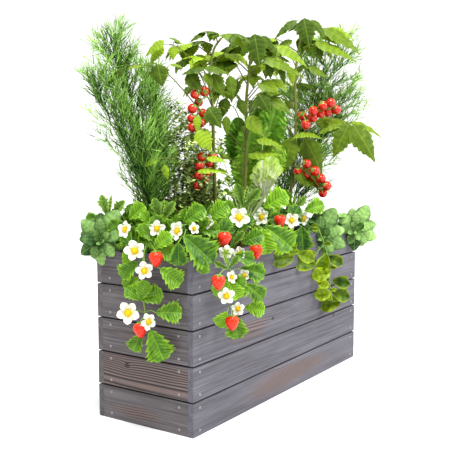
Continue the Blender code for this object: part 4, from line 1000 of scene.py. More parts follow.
@dataclass
class Screws:
    """The cross-recess screws that hold each board to its posts, two at each end.

    The profile is (share of the radius, height as a share of how proud the head stands), and
    inside it the recess lies between the arms of the cross.
    """

    radius: float = 0.0042
    proud: float = 0.0009
    from_end: float = 0.03
    from_edge: float = 0.016
    sides: int = 16
    profile: tuple[Spot, ...] = ((0.3, 0.0), (0.58, 0.0), (0.72, 1.0), (0.92, 0.8), (1.0, -0.4))
    between_arms: float = 0.95

    def head(self, model: bmesh.types.BMesh, centre: Vector, out: Vector, turn: float) -> None:
        """Adds one screw's head, with its cross sunk in.

        Args:
            model: the mesh that it joins.
            centre: where it sits on the board's face.
            out: the way off the face.
            turn: how far the cross is turned, in radians.
        """
        x_axis = UP.cross(out).normalized()
        start = model.verts.new(centre)
        rings = []
        for share, height in self.profile:
            ring = []
            for step in range(self.sides):
                arm = step % (self.sides // 4) == 0
                lift = height if arm or share > 0.6 else self.between_arms
                spot = turned(x_axis, UP, 2 * math.pi * step / self.sides + turn)
                ring.append(model.verts.new(centre + spot * share * self.radius
                                            + out * self.proud * lift))
            rings.append(ring)
        for step in range(self.sides):
            after = (step + 1) % self.sides
            model.faces.new((start, rings[0][step], rings[0][after]))
            for inner, outer in zip(rings, rings[1:]):
                model.faces.new((inner[step], outer[step], outer[after], inner[after]))
        model.faces.new(list(reversed(rings[-1])))

    def build(self, steel: bpy.types.Material) -> None:
        """Makes the screws of each wall as one piece.

        Args:
            steel: their material.
        """
        for side in Side:
            word, axis, sign = side.value
            out = Vector((0.0, sign, 0.0)) if axis == 0 else Vector((sign, 0.0, 0.0))
            along_wall = Vector((1.0, 0.0, 0.0)) if axis == 0 else Vector((0.0, 1.0, 0.0))
            reach = (LENGTH if axis == 0 else WIDTH - 2 * BOARD_THICK) / 2 - self.from_end
            face = (WIDTH if axis == 0 else LENGTH) / 2
            model = bmesh.new()
            rng = random.Random(word)
            for row in range(ROWS):
                for edge in (self.from_edge, BOARD_WIDTH - self.from_edge):
                    for end in (-reach, reach):
                        centre = out * face + along_wall * end + UP * (row * ROW_PITCH + edge)
                        self.head(model, centre, out, rng.uniform(0.0, math.pi))
            bmesh.ops.recalc_face_normals(model, faces=model.faces)
            settle(cast(word + "_screws", model, steel), "stained_board")


@dataclass
class Soil:
    """The lumpy top of the soil, with loose crumbs."""

    step: float = 0.006
    lump: float = 0.004
    depth: float = 0.002
    crumbs: int = 420
    crumb_size: float = 0.0035
    half_x: float = LENGTH / 2 - LINER_INSET
    half_y: float = WIDTH / 2 - LINER_INSET

    def sheet(self, model: bmesh.types.BMesh, rng: random.Random) -> None:
        """Lays a closed lumpy sheet over the soil, clear of the posts.

        Args:
            model: the mesh that it joins.
            rng: gives it its lumps.
        """
        columns, rows = round(2 * self.half_x / self.step), round(2 * self.half_y / self.step)
        clear = POST_SIDE + 0.001
        grid = {}
        for i in range(columns + 1):
            for j in range(rows + 1):
                x = -self.half_x + 2 * self.half_x * i / columns
                y = -self.half_y + 2 * self.half_y * j / rows
                if abs(x) > self.half_x - clear and abs(y) > self.half_y - clear:
                    continue
                wave = math.sin(31 * x + 7 * math.sin(23 * y)) * math.sin(37 * y + 5 * x)
                height = SOIL_TOP + self.lump * (0.55 + 0.3 * wave + 0.15 * rng.uniform(-1, 1))
                grid[i, j] = (model.verts.new((x, y, height)),
                              model.verts.new((x, y, SOIL_TOP - self.depth)))
        for i in range(columns):
            for j in range(rows):
                corners = [(i, j), (i + 1, j), (i + 1, j + 1), (i, j + 1)]
                if all(corner in grid for corner in corners):
                    model.faces.new([grid[corner][0] for corner in corners])
                    model.faces.new([grid[corner][1] for corner in reversed(corners)])
        below = dict(grid.values())
        for edge in [edge for edge in model.edges if len(edge.link_faces) == 1]:
            loop = edge.link_loops[0]
            start, end = loop.vert, loop.link_loop_next.vert
            if start in below:
                model.faces.new((end, start, below[start], below[end]))

    def build(self, earth: bpy.types.Material) -> None:
        """Lays the sheet and scatters crumbs on it.

        Args:
            earth: their material.
        """
        rng = random.Random(8)
        model = bmesh.new()
        self.sheet(model, rng)
        for _ in range(self.crumbs):
            x = rng.uniform(-self.half_x + 0.05, self.half_x - 0.05)
            y = rng.uniform(-self.half_y + 0.01, self.half_y - 0.01)
            size = self.crumb_size * rng.uniform(0.5, 1.3)
            spin = Matrix.Rotation(rng.uniform(0.0, 6.0), 4, "Z")
            shape = Matrix.Diagonal((size, size * rng.uniform(0.6, 1.0), size * 0.7, 1.0))
            spot = Matrix.Translation((x, y, SOIL_TOP + self.lump * 0.9))
            bmesh.ops.create_icosphere(model, subdivisions=1, radius=1.0, matrix=spot @ spin @ shape)
        settle(cast("soil_top", model, earth), "earth")


@dataclass
class Plant:
    """A plant: the points, triangles, leaf marks and finishes of all its pieces.

    The slot is the name of a material slot; each piece takes its finish from its dress.
    """

    name: str
    slot = ""

    def __post_init__(self) -> None:
        """Starts with nothing grown and with the plant's own seeded draws."""
        self.rng = random.Random(self.name)
        self.points: list[np.ndarray] = []
        self.triangles: list[np.ndarray] = []
        self.marks: list[np.ndarray] = []
        self.dresses: list[tuple[Dress, int]] = []
        self.count = 0

    def draw(self, low: float, high: float) -> float:
        """A random number between two others."""
        return self.rng.uniform(low, high)

    def stray(self, up: float) -> Vector:
        """A random way along the ground, raised by a height."""
        return Vector((self.draw(-1, 1), self.draw(-1, 1), up))

    def add(self, points: np.ndarray, triangles: np.ndarray, marks: np.ndarray,
            dress: Dress) -> None:
        """Adds one closed piece.

        Args:
            points: its places, one row each.
            triangles: its faces, as rows of three point numbers.
            marks: the four leaf marks of each point.
            dress: its finish.
        """
        self.points.append(points)
        self.triangles.append(triangles + self.count)
        self.marks.append(marks)
        self.dresses.append((dress, len(triangles)))
        self.count += len(points)

    def sheet(self, middle: np.ndarray, thick: float, marks: np.ndarray, dress: Dress) -> None:
        """Adds a thin closed sheet round a grid of points.

        Args:
            middle: the grid, rows by columns by three.
            thick: how thick the sheet is.
            marks: the marks of the grid's points.
            dress: its finish.
        """
        rows, columns = middle.shape[:2]
        normal = np.cross(np.gradient(middle, axis=0), np.gradient(middle, axis=1))
        normal /= np.maximum(np.linalg.norm(normal, axis=2, keepdims=True), 1e-12)
        upper = (middle + normal * thick / 2).reshape(-1, 3)
        lower = (middle - normal * thick / 2).reshape(-1, 3)
        count = rows * columns
        number = np.arange(count).reshape(rows, columns)
        a, b = number[:-1, :-1].ravel(), number[1:, :-1].ravel()
        c, d = number[1:, 1:].ravel(), number[:-1, 1:].ravel()
        top = np.concatenate((np.stack((a, b, c), 1), np.stack((a, c, d), 1)))
        start = np.concatenate((number[:, 0], number[-1, 1:], number[-2::-1, -1],
                                number[0, -2:0:-1]))
        end = np.roll(start, -1)
        walls = np.concatenate((np.stack((end, start, start + count), 1),
                                np.stack((end, start + count, end + count), 1)))
        under = marks + np.array((0.0, 0.0, 1.0, 0.0))
        self.add(np.concatenate((upper, lower)),
                 np.concatenate((top, top[:, ::-1] + count, walls)),
                 np.concatenate((marks, under)), dress)

    def leaf(self, foot: Vector, way: Vector, facing: Vector, length: float, cut: LeafCut,
             dress: Dress, tint: float, droop: float | None = None) -> None:
        """Adds one leaf, with small differences of its own.

        Args:
            foot: where its blade starts.
            way: the way that it points.
            facing: the way that its upper face looks.
            length: from foot to tip.
            cut: the kind of leaf.
            dress: its finish.
            tint: 0 for the darkest of its kind and 1 for the lightest.
            droop: in place of the cut's own droop.
        """
        fold = cut.fold + self.draw(-0.06, 0.06)
        droop = (cut.droop if droop is None else droop) + self.draw(-0.1, 0.15)
        middle = cut.surface(length, fold, droop, self.draw(0.0, 6.0))
        tint = min(max(tint + self.draw(-0.08, 0.08), 0.0), 0.98)
        self.sheet(middle @ leaf_axes(way, facing) + np.array(foot), cut.thick, cut.marks(tint),
                   dress)

    def tube(self, path: Path, radii: Radii, dress: Dress = Dress.GREEN_STALK,
             sides: int = 6) -> None:
        """Adds a tapered stalk along a path, closed at both ends.

        Args:
            path: its middle line.
            radii: its radius at the start and at the end.
            dress: its finish.
            sides: how many sides it has.
        """
        last = len(path) - 1
        turn = 2 * np.pi * np.arange(sides) / sides
        rings = []
        hint = ASLANT
        for index, place in enumerate(path):
            axes = leaf_axes(path[min(index + 1, last)] - path[max(index - 1, 0)], hint)
            hint = Vector(axes[2])
            radius = radii[0] + (radii[1] - radii[0]) * (index / last)
            rings.append(np.array(place) + radius * (np.outer(np.cos(turn), axes[1])
                                                     + np.outer(np.sin(turn), axes[2])))
        self.rings(rings, dress)

    def rings(self, rings: list[np.ndarray], dress: Dress) -> None:
        """Adds a closed body through rings of equal counts, each in turn round the way forward.

        Args:
            rings: the rings from its foot to its head.
            dress: its finish.
        """
        count, sides = len(rings), len(rings[0])
        number = np.arange(count * sides).reshape(count, sides)
        a, b = number[:-1], number[1:]
        a_next, b_next = np.roll(a, -1, 1), np.roll(b, -1, 1)
        wall = np.concatenate([np.stack(corners, 2).reshape(-1, 3)
                               for corners in ((a, a_next, b_next), (a, b_next, b))])
        low, high = count * sides, count * sides + 1
        foot = np.stack((np.full(sides, low), np.roll(number[0], -1), number[0]), 1)
        head = np.stack((np.full(sides, high), number[-1], np.roll(number[-1], -1)), 1)
        points = np.concatenate(rings + [rings[0].mean(0)[None], rings[-1].mean(0)[None]])
        marks = np.zeros((len(points), 4))
        marks[:, 0] = np.append(np.repeat(np.linspace(0.0, 1.0, count), sides), (0.0, 1.0))
        self.add(points, np.concatenate((wall, foot, head)), marks, dress)

    def turn(self, foot: Vector, axis: Vector, profile: tuple[Spot, ...], dress: Dress,
             sides: int = 12) -> None:
        """Adds a turned body.

        Args:
            foot: where its axis starts.
            axis: the way that it runs.
            profile: its radius at each distance along the axis.
            dress: its finish.
            sides: how many sides it has.
        """
        axes = leaf_axes(axis, ASLANT)
        turn = 2 * np.pi * np.arange(sides) / sides
        disc = np.outer(np.cos(turn), axes[1]) + np.outer(np.sin(turn), axes[2])
        self.rings([np.array(foot) + axes[0] * run + disc * radius for run, radius in profile],
                   dress)

    def build(self) -> None:
        """Grows the plant and puts it on the bed in place of its solid."""
        self.grow()
        points = np.concatenate(self.points).astype(np.float32)
        triangles = np.concatenate(self.triangles).astype(np.int32)
        mesh = bpy.data.meshes.new(self.name + "_grown")
        mesh.vertices.add(len(points))
        mesh.vertices.foreach_set("co", points.ravel())
        mesh.loops.add(triangles.size)
        mesh.loops.foreach_set("vertex_index", triangles.ravel())
        mesh.polygons.add(len(triangles))
        mesh.polygons.foreach_set("loop_start", np.arange(0, triangles.size, 3, dtype=np.int32))
        used = list(dict.fromkeys(dress for dress, _ in self.dresses))
        for dress in used:
            mesh.materials.append(material_of(dress))
        index = np.concatenate([np.full(count, used.index(dress), np.int32)
                                for dress, count in self.dresses])
        mesh.polygons.foreach_set("material_index", index)
        mesh.update(calc_edges=True)
        marks = mesh.attributes.new(LEAF_MARK, "FLOAT_COLOR", "POINT")
        marks.data.foreach_set("color", np.concatenate(self.marks).astype(np.float32).ravel())
        mesh.set_sharp_from_angle(angle=math.radians(50))
        settle(stand(mesh.name, mesh), self.slot, self.name)


@dataclass
class TomatoPlant(Plant):
    """One tomato plant: where it stands, its stem, and its compound leaves.

    The stem is (across, up) from the foot. Each leaf is (height on the stem, end across, end up,
    end behind, leaflet length, 1 or 0, tint). The solids have the first leaves, and the smaller
    ones between them come after. A leaf with 0 is a bare stalk whose leaflets are among the
    blades: (foot across, foot up, tip across, tip up, behind, width by length, tint). Each tint is
    partly the leaf's own green and partly painted light, lighter where light shines through.
    """

    foot: Spot
    stem: tuple[Spot, ...]
    leaves: tuple[Row, ...]
    more: tuple[Row, ...]
    blades: tuple[Row, ...]
    stem_radii: Radii = (0.0072, 0.0028)
    stalk_radii: Radii = (0.0021, 0.001)
    blade_stalk: Radii = (0.0012, 0.0008)
    leaflet_stalk: Radii = (0.0009, 0.0007)
    clear_of_soil: float = 0.5
    # Leaves before the stem keep this share of their tint: painted shade.
    front_shade_share: float = 0.64
    small_leaflet: float = 0.042
    slot = "tomato_leaf"

    def lit(self, tint: float, behind: float) -> float:
        """The tint of a leaf: full behind the stem, where light shines through, and less before."""
        return tint if behind > 0.01 else tint * self.front_shade_share

    def stem_path(self) -> Path:
        """Lays out the stem.

        Returns:
            Its middle line, from under the soil to its top.
        """
        places = [above(self.foot, ROOT_LEVEL), above(self.foot, self.clear_of_soil)]
        places += [point(across, up, 0.0, self.foot) for across, up in self.stem]
        return smooth_path(places, 5 * len(places))

    def blade(self, stalks: Path, spec: Row) -> None:
        """Adds one leaflet on a short stalk of its own from the nearest stalk.

        Args:
            stalks: places on the plant's stem and leaf stalks.
            spec: the blade, as the class says.
        """
        across, up, tip_across, tip_up, behind, width, tint = spec
        foot = point(across, up, behind, self.foot)
        chord = point(tip_across, tip_up, behind, self.foot) - foot
        self.tube(bowed(nearest(stalks, foot), foot, 0.5, UP * 0.004, 4), self.blade_stalk,
                  Dress.TOMATO_STEM, 4)
        hanging = max(-chord.normalized().z, 0.0)
        droop = 0.9 - 0.4 * hanging
        facing = TOWARD * (0.5 + 0.5 * hanging) + UP * (1.0 - 0.6 * hanging)
        off = Vector(leaf_axes(chord, facing)[2])
        self.leaf(foot, turned(chord.normalized(), off, droop / 2), facing, chord.length * 1.05,
                  replace(TOMATO_CUT, aspect=width), Dress.TOMATO_LEAF, self.lit(tint, behind),
                  droop)

    def compound_leaf(self, stem: Path, spec: Row) -> Path:
        """Adds an arched stalk with a tip leaflet and two pairs of hanging ones.

        Args:
            stem: the plant's stem.
            spec: the leaf, as the class says.

        Returns:
            The path of its stalk.
        """
        height, across, up, behind, size, leafy, tint = spec
        tint = self.lit(tint, behind)
        end = point(across, up, behind, self.foot)
        axis = at_height(stem, height)
        level = Vector((end.x - axis.x, end.y - axis.y, 0.0)).normalized()
        path = bowed(axis, end, 0.6, UP * (end - axis).length * 0.18, 10)
        self.tube(path, self.stalk_radii, Dress.TOMATO_STEM, 5)
        if not leafy:
            return path
        heading = (path[-1] - path[-3]).normalized()
        facing = TOWARD * 0.15 + UP * 0.9
        self.leaf(end, heading * 0.3 + level * 0.6 + UP * 0.15, facing, size * 1.5, TOMATO_CUT,
                  Dress.TOMATO_LEAF, tint)
        sideways = UP.cross(level)
        for pair, scale in enumerate((1.0, 0.86)):
            share = 1.0 - (pair + 0.45) * 0.62 / 2
            cut = TOMATO_CUT if size * scale > self.small_leaflet else TOMATO_SMALL_CUT
            for side in (1, -1):
                place, ahead = along(path, share + self.draw(-0.02, 0.02))
                way = (sideways * side * self.draw(0.7, 1.0) + ahead.normalized() * 0.45
                       - UP * self.draw(-0.1, 0.25)).normalized()
                foot = place + sideways * side * 0.005
                self.tube([place, foot + way * 0.002], self.leaflet_stalk, Dress.TOMATO_STEM, 4)
                self.leaf(foot, way, facing + sideways * side * 0.25,
                          size * scale * self.draw(1.2, 1.45), cut, Dress.TOMATO_LEAF,
                          tint + self.draw(-0.25, 0.25))
        return path

    def grow(self) -> None:
        """Grows the stem, the leaves and the blades."""
        stem = self.stem_path()
        self.tube(stem, self.stem_radii, Dress.TOMATO_STEM, 10)
        stalks = list(stem)
        for spec in self.leaves + self.more:
            stalks += self.compound_leaf(stem, spec)
        for spec in self.blades:
            self.blade(stalks, spec)


TOMATO_PLANTS = (
    TomatoPlant(
        "tomato_plant_left", (-0.15, 0), front_shade_share=0.95,
        stem=((0, 0.6), (-0.004, 0.74), (-0.009, 0.905), (-0.018, 0.978), (-0.006, 1.064), (0.018, 1.105)),
        leaves=(
            (0.84, -0.24, 1.015, -0.1, 0.085, 0, 0.1), (0.96, -0.155, 1.08, -0.06, 0.065, 0, 0.85),
            (0.92, -0.07, 1.01, -0.05, 0.062, 0, 0.12), (1.05, -0.04, 1.1, 0.03, 0.05, 1, 0.25),
            (1.08, 0.05, 1.115, -0.02, 0.05, 1, 0.1), (0.88, 0.03, 0.89, -0.05, 0.055, 0, 0.1),
            (0.79, -0.03, 0.83, -0.06, 0.055, 0, 0.95), (0.72, -0.055, 0.815, 0.04, 0.055, 1, 0.6),
            (0.86, 0.03, 0.96, 0.1, 0.06, 1, 0.6)),
        more=(
            (1.02, 0.05, 1.06, 0.04, 0.055, 1, 0.7), (0.98, -0.08, 1.05, 0.06, 0.06, 1, 0.8),
            (1.05, -0.1, 1.085, 0.03, 0.055, 1, 0.7), (0.9, -0.06, 0.97, 0.08, 0.055, 1, 0.75),
            (1.09, 0, 1.12, 0, 0.045, 1, 0.05), (0.6, -0.18, 0.745, -0.13, 0.045, 0, 0.9),
            (0.94, 0.04, 1, -0.05, 0.055, 0, 0.3), (1, -0.05, 1.05, 0, 0.055, 1, 0.95)),
        blades=(
            (-0.164, 1.016, -0.151, 0.955, -0.12, 0.9, 0), (-0.262, 1.004, -0.308, 0.955, -0.13, 0.42, 0),
            (-0.21, 1.012, -0.256, 1.002, -0.12, 0.34, 0.5),
            (-0.13, 1.02, -0.092, 1.008, -0.08, 0.4, 0.45), (-0.17, 1.02, -0.205, 1.01, -0.12, 0.4, 0.15),
            (-0.146, 1.086, -0.2, 1.04, -0.1, 0.42, 0.7), (-0.152, 1.076, -0.19, 1.02, -0.08, 0.5, 0.95),
            (-0.122, 1.074, -0.123, 1.033, -0.07, 0.7, 1),
            (-0.119, 1.086, -0.092, 1.078, -0.07, 0.5, 0.35),
            (-0.1, 1.083, -0.14, 1.098, -0.07, 0.45, 0.3), (-0.03, 1.01, -0.098, 0.988, -0.06, 0.44, 0.1),
            (-0.03, 1.012, 0.042, 0.988, -0.06, 0.44, 0.15),
            (-0.082, 0.996, -0.04, 0.944, -0.05, 0.72, 0.08),
            (-0.006, 0.995, 0.027, 0.926, -0.05, 0.6, 0.1), (0.044, 0.99, 0.056, 0.924, -0.04, 0.5, 0.15),
            (-0.03, 0.995, -0.005, 0.955, -0.06, 0.6, 0.25),
            (-0.02, 0.895, 0.018, 0.836, -0.06, 0.8, 0.02), (0.033, 0.87, 0.036, 0.812, -0.05, 0.45, 0.1),
            (-0.05, 0.83, -0.012, 0.766, -0.06, 0.75, 0.95),
            (-0.051, 0.872, -0.054, 0.822, -0.06, 0.5, 0.9),
            (-0.026, 0.746, 0.037, 0.732, -0.06, 0.48, 0.9), (-0.053, 0.706, 0.032, 0.7, -0.06, 0.36, 1),
            (-0.165, 0.748, -0.206, 0.72, -0.12, 0.5, 1), (-0.148, 0.727, -0.137, 0.684, -0.12, 0.5, 0.9),
            (-0.028, 1.12, -0.078, 1.092, 0, 0.38, 0.1), (-0.057, 1.06, -0.026, 1.012, 0.05, 0.7, 0.95),
            (-0.091, 1.072, -0.064, 1.04, 0.05, 0.6, 0.95), (-0.008, 0.99, 0.014, 0.942, 0.05, 0.6, 1))),
    TomatoPlant(
        "tomato_plant_centre", (-0.03, -0.02),
        stem=((0.004, 0.6), (0.013, 0.737), (0.013, 0.909), (0.018, 0.98), (0.026, 1.058), (0.031, 1.1)),
        leaves=(
            (1.07, 0.042, 1.115, -0.04, 0.08, 0, 0.08), (1.08, -0.03, 1.095, 0.03, 0.05, 1, 0.1),
            (1.08, 0.085, 1.095, 0.04, 0.05, 1, 0.2), (1, 0.12, 1.055, -0.01, 0.07, 0, 0.55),
            (0.93, 0.07, 0.975, -0.03, 0.06, 0, 0.35), (0.87, 0.055, 0.935, -0.05, 0.055, 0, 0.25),
            (0.97, -0.05, 1.05, 0, 0.06, 1, 0.15), (0.79, 0.03, 0.865, -0.04, 0.055, 0, 0.95),
            (0.8, -0.04, 0.91, -0.03, 0.055, 0, 0.05), (0.71, 0.06, 0.785, -0.03, 0.07, 0, 0.95),
            (0.92, 0.03, 1.01, 0.1, 0.06, 1, 0.8)),
        more=(
            (0.755, -0.125, 0.873, 0, 0.055, 1, 0.1), (1.01, -0.09, 1.07, 0.04, 0.06, 1, 0.75),
            (1.03, 0.07, 1.08, 0.06, 0.06, 1, 0.85), (0.98, 0.06, 1.04, 0.05, 0.055, 1, 0.9),
            (0.68, -0.06, 0.745, -0.03, 0.05, 0, 0.9), (1.09, 0.02, 1.12, 0.05, 0.05, 1, 0.2),
            (0.92, 0.11, 0.99, 0.03, 0.055, 1, 0.9), (0.85, 0.1, 0.935, 0.03, 0.055, 1, 0.2),
            (0.89, -0.06, 0.97, 0.05, 0.055, 1, 0.9)),
        blades=(
            (0.036, 1.12, 0.053, 1.026, -0.05, 0.72, 0), (0.002, 1.112, -0.058, 1.062, -0.03, 0.34, 0.1),
            (0.061, 1.118, 0.105, 1.06, -0.03, 0.4, 0.08), (0.02, 1.105, -0.02, 1.04, -0.02, 0.5, 0.3),
            (0.105, 1.088, 0.206, 1.026, -0.02, 0.36, 0.8), (0.062, 1.05, 0.187, 0.985, -0.03, 0.3, 0.45),
            (0.1, 1.055, 0.15, 1.035, -0.02, 0.45, 0.9), (0.084, 1.04, 0.088, 0.988, -0.02, 0.55, 0.1),
            (0.12, 1.028, 0.131, 0.972, -0.02, 0.4, 0.05), (0.15, 1.025, 0.162, 0.968, 0.02, 0.45, 0.9),
            (0.046, 0.972, 0.114, 0.94, -0.03, 0.5, 0.5), (0.05, 0.942, 0.085, 0.88, -0.04, 0.76, 0.02),
            (0.09, 0.925, 0.155, 0.88, -0.02, 0.5, 0.3), (-0.019, 0.985, -0.026, 0.928, -0.03, 0.6, 0.12),
            (-0.051, 0.928, -0.064, 0.866, -0.03, 0.6, 0.08), (-0.01, 0.925, 0.01, 0.87, -0.03, 0.5, 0.35),
            (0.016, 0.872, 0.065, 0.812, -0.02, 0.66, 0.9),
            (0.044, 0.798, 0.122, 0.777, -0.03, 0.46, 0.95), (0.02, 0.746, 0.126, 0.75, -0.03, 0.5, 1),
            (0.075, 0.79, 0.13, 0.765, -0.01, 0.55, 0.6), (-0.07, 0.753, -0.038, 0.736, -0.02, 0.6, 0.95),
            (-0.075, 0.705, -0.042, 0.695, -0.02, 0.55, 0.9))),
    TomatoPlant(
        "tomato_plant_right", (0.31, 0),
        stem=((0.004, 0.6), (0.021, 0.8), (0.018, 1.02), (0.033, 1.14), (0.044, 1.195)),
        leaves=(
            (1.16, 0.05, 1.205, -0.04, 0.085, 0, 0.08), (1.17, -0.02, 1.195, 0, 0.06, 0, 0.08),
            (1.17, 0.09, 1.19, 0.02, 0.06, 0, 0.12), (1.05, -0.03, 1.125, 0, 0.07, 1, 0.6),
            (1.06, 0.1, 1.12, 0, 0.075, 0, 0.6), (1.13, 0.13, 1.175, -0.02, 0.08, 0, 0.8),
            (0.98, 0.07, 1.045, -0.03, 0.055, 0, 0.35), (0.8, 0.205, 0.855, -0.06, 0.09, 0, 0.15),
            (0.72, -0.005, 0.81, -0.06, 0.085, 0, 0.2), (0.74, 0.06, 0.81, -0.05, 0.09, 0, 0.3),
            (0.92, 0.05, 1, 0.1, 0.06, 1, 0.6)),
        more=(
            (0.8, -0.129, 0.936, 0, 0.055, 1, 0.12), (1.1, -0.1, 1.14, 0.03, 0.06, 1, 0.75),
            (1.12, 0.07, 1.16, 0.07, 0.06, 1, 0.85), (1.02, -0.08, 1.07, 0.02, 0.06, 1, 0.5),
            (0.9, -0.07, 0.97, 0.02, 0.06, 1, 0.3), (0.62, 0.06, 0.67, 0.02, 0.055, 1, 0.6),
            (1.08, 0.1, 1.13, 0.05, 0.06, 1, 0.85), (0.99, 0.05, 1.06, 0.04, 0.055, 1, 0.35),
            (1, -0.05, 1.07, 0, 0.06, 1, 0.9), (0.8, 0.17, 0.87, 0.05, 0.06, 1, 0.3)),
        blades=(
            (0.04, 1.208, 0.061, 1.113, -0.05, 0.74, 0), (0.018, 1.205, -0.058, 1.143, -0.03, 0.34, 0.08),
            (0.069, 1.206, 0.121, 1.142, -0.03, 0.38, 0.1), (0.03, 1.195, -0.01, 1.165, -0.03, 0.4, 0.2),
            (0.112, 1.178, 0.238, 1.095, -0.02, 0.38, 0.55), (0.134, 1.186, 0.224, 1.146, 0.02, 0.4, 0.75),
            (0.081, 1.13, 0.218, 1.06, -0.03, 0.32, 0.65), (0.096, 1.118, 0.103, 1.064, -0.02, 0.5, 0.1),
            (0.1, 1.17, 0.165, 1.125, 0, 0.5, 0.95), (0.061, 1.048, 0.128, 1.008, -0.03, 0.45, 0.3),
            (0.005, 1.14, -0.055, 1.105, -0.01, 0.45, 0.7),
            (0.198, 0.852, 0.146, 0.738, -0.06, 0.58, 0.42), (0.212, 0.85, 0.288, 0.725, -0.06, 0.56, 0.4),
            (0.195, 0.858, 0.085, 0.815, -0.04, 0.3, 0.8), (0.205, 0.858, 0.318, 0.808, -0.04, 0.26, 0.75),
            (0.001, 0.806, -0.019, 0.685, -0.04, 0.56, 0.42), (0.053, 0.802, 0.116, 0.676, 0, 0.58, 0.38),
            (0.06, 0.818, 0, 0.8, -0.05, 0.45, 0.95), (0.04, 0.818, 0.11, 0.8, -0.05, 0.4, 0.9),
            (0.01, 0.932, -0.038, 0.892, 0.02, 0.6, 0.15), (0.02, 0.69, 0.06, 0.63, -0.02, 0.5, 0.6))))


@dataclass
class Truss(Plant):
    """A bunch of tomatoes: its plant's foot, the fruit's radius, its stalk and its fruits.

    All places are (across, up) from the plant's foot.
    """

    foot: Spot
    radius: float
    start: Spot
    stalk: tuple[Spot, ...]
    fruits: tuple[Spot, ...]
    depth: float = -0.024
    stalk_radii: Radii = (0.0022, 0.0014)
    fruit_stalk: Radii = (0.001, 0.0012)
    clear_of_stalk: float = 1.25
    meridian: int = 10
    sepals: int = 5
    slot = "tomato_fruit"

    def fruit(self, joint: Vector, centre: Vector, radius: float) -> None:
        """Adds one tomato with its star of sepals, on its own stalk from a joint.

        Args:
            joint: where its stalk leaves the bunch's stalk.
            centre: its middle.
            radius: its radius.
        """
        swing = TOWARD * self.draw(0.35, 0.8) + UP * 0.45 + ACROSS * self.draw(-0.4, 0.2)
        axis = -((joint - centre).normalized() * 0.5 + swing).normalized()
        crown = centre - axis * radius * 0.92
        self.tube(bowed(joint, crown, 0.5, (TOWARD + UP) * radius * 0.45, 5), self.fruit_stalk,
                  sides=5)
        profile = []
        for step in range(self.meridian + 1):
            angle = math.pi * step / self.meridian
            dent = 0.1 * math.exp(-(angle / 0.5) ** 2)
            profile.append((radius * (1 - math.cos(angle) * (1 - dent)),
                            radius * max(math.sin(angle), 0.02)))
        self.turn(centre - axis * radius, axis, tuple(profile), Dress.TOMATO_SKIN, 16)
        level = leaf_axes(axis, UP + Vector((0.1, 0.2, 0.0)))
        for number in range(self.sepals):
            angle = 2 * math.pi * number / self.sepals + self.draw(-0.2, 0.2)
            way = turned(Vector(level[1]), Vector(level[2]), angle) + axis * 0.2
            self.leaf(crown - axis * 0.001, way, -axis, radius * 0.95, SEPAL_CUT,
                      Dress.GREEN_STALK, 0.6, 0.7)

    def grow(self) -> None:
        """Grows the stalk and its fruits, each clear of the stalk."""
        places = [point(*self.start, -0.004, self.foot)]
        places += [point(across, up, self.depth, self.foot) for across, up in self.stalk]
        path = smooth_path(places, 12)
        self.tube(path, self.stalk_radii)
        for number, (across, up) in enumerate(self.fruits):
            depth = self.depth + (-0.8 if number % 2 else 0.4) * self.radius
            centre = point(across, up, depth, self.foot)
            joint = nearest(path[1:], centre)
            if (joint - centre).length < self.radius * self.clear_of_stalk:
                centre = joint + ((centre - joint).normalized() * self.radius
                                  * self.clear_of_stalk)
            self.fruit(joint, centre, self.radius * self.draw(0.92, 1.04))


TRUSSES = (
    Truss(
        "tomato_truss_left_upper", (-0.15, 0), 0.0148, (-0.01, 0.925),
        stalk=((-0.035, 0.925), (-0.052, 0.89), (-0.058, 0.83)),
        fruits=(
            (-0.031, 0.935), (-0.06, 0.936), (-0.047, 0.912), (-0.068, 0.893), (-0.041, 0.883),
            (-0.07, 0.864), (-0.05, 0.856), (-0.066, 0.836))),
    Truss(
        "tomato_truss_left_lower", (-0.15, 0), 0.0145, (-0.006, 0.765),
        stalk=((-0.022, 0.755), (-0.034, 0.72), (-0.04, 0.67)),
        fruits=(
            (-0.012, 0.757), (-0.041, 0.749), (-0.026, 0.73), (-0.046, 0.722), (-0.03, 0.699),
            (-0.05, 0.692), (-0.036, 0.672), (-0.052, 0.661))),
    Truss(
        "tomato_truss_right_upper", (0.31, 0), 0.018, (0.02, 0.87),
        stalk=((0.05, 0.895), (0.09, 0.91), (0.14, 0.912)),
        fruits=(
            (0.042, 0.888), (0.052, 0.85), (0.078, 0.876), (0.074, 0.9), (0.106, 0.89), (0.108, 0.914),
            (0.134, 0.9), (0.138, 0.922), (0.16, 0.902))),
    Truss(
        "tomato_truss_right_lower", (0.31, 0), 0.0172, (0.012, 0.705),
        stalk=((0.035, 0.705), (0.07, 0.675), (0.105, 0.63)),
        fruits=(
            (0.028, 0.7), (0.057, 0.715), (0.06, 0.682), (0.086, 0.69), (0.086, 0.66), (0.108, 0.664),
            (0.106, 0.636), (0.128, 0.638), (0.117, 0.612))))


def over_rim(start: Vector, end: Vector, lift: float) -> Path:
    """The way of a stalk from a crown to its end, over the rim where the end hangs outside.

    Args:
        start: where it leaves the crown.
        end: its end.
        lift: how far it rises above them.

    Returns:
        The places that it passes through.
    """
    middle = start.lerp(end, 0.55)
    outside = abs(end.x) > LENGTH / 2 - 0.02 or abs(end.y) > WIDTH / 2 - 0.02
    middle.z = max(start.z, end.z) + lift
    if outside:
        middle.z = max(middle.z, HEIGHT + 0.02 + lift)
    return [start, middle, end]


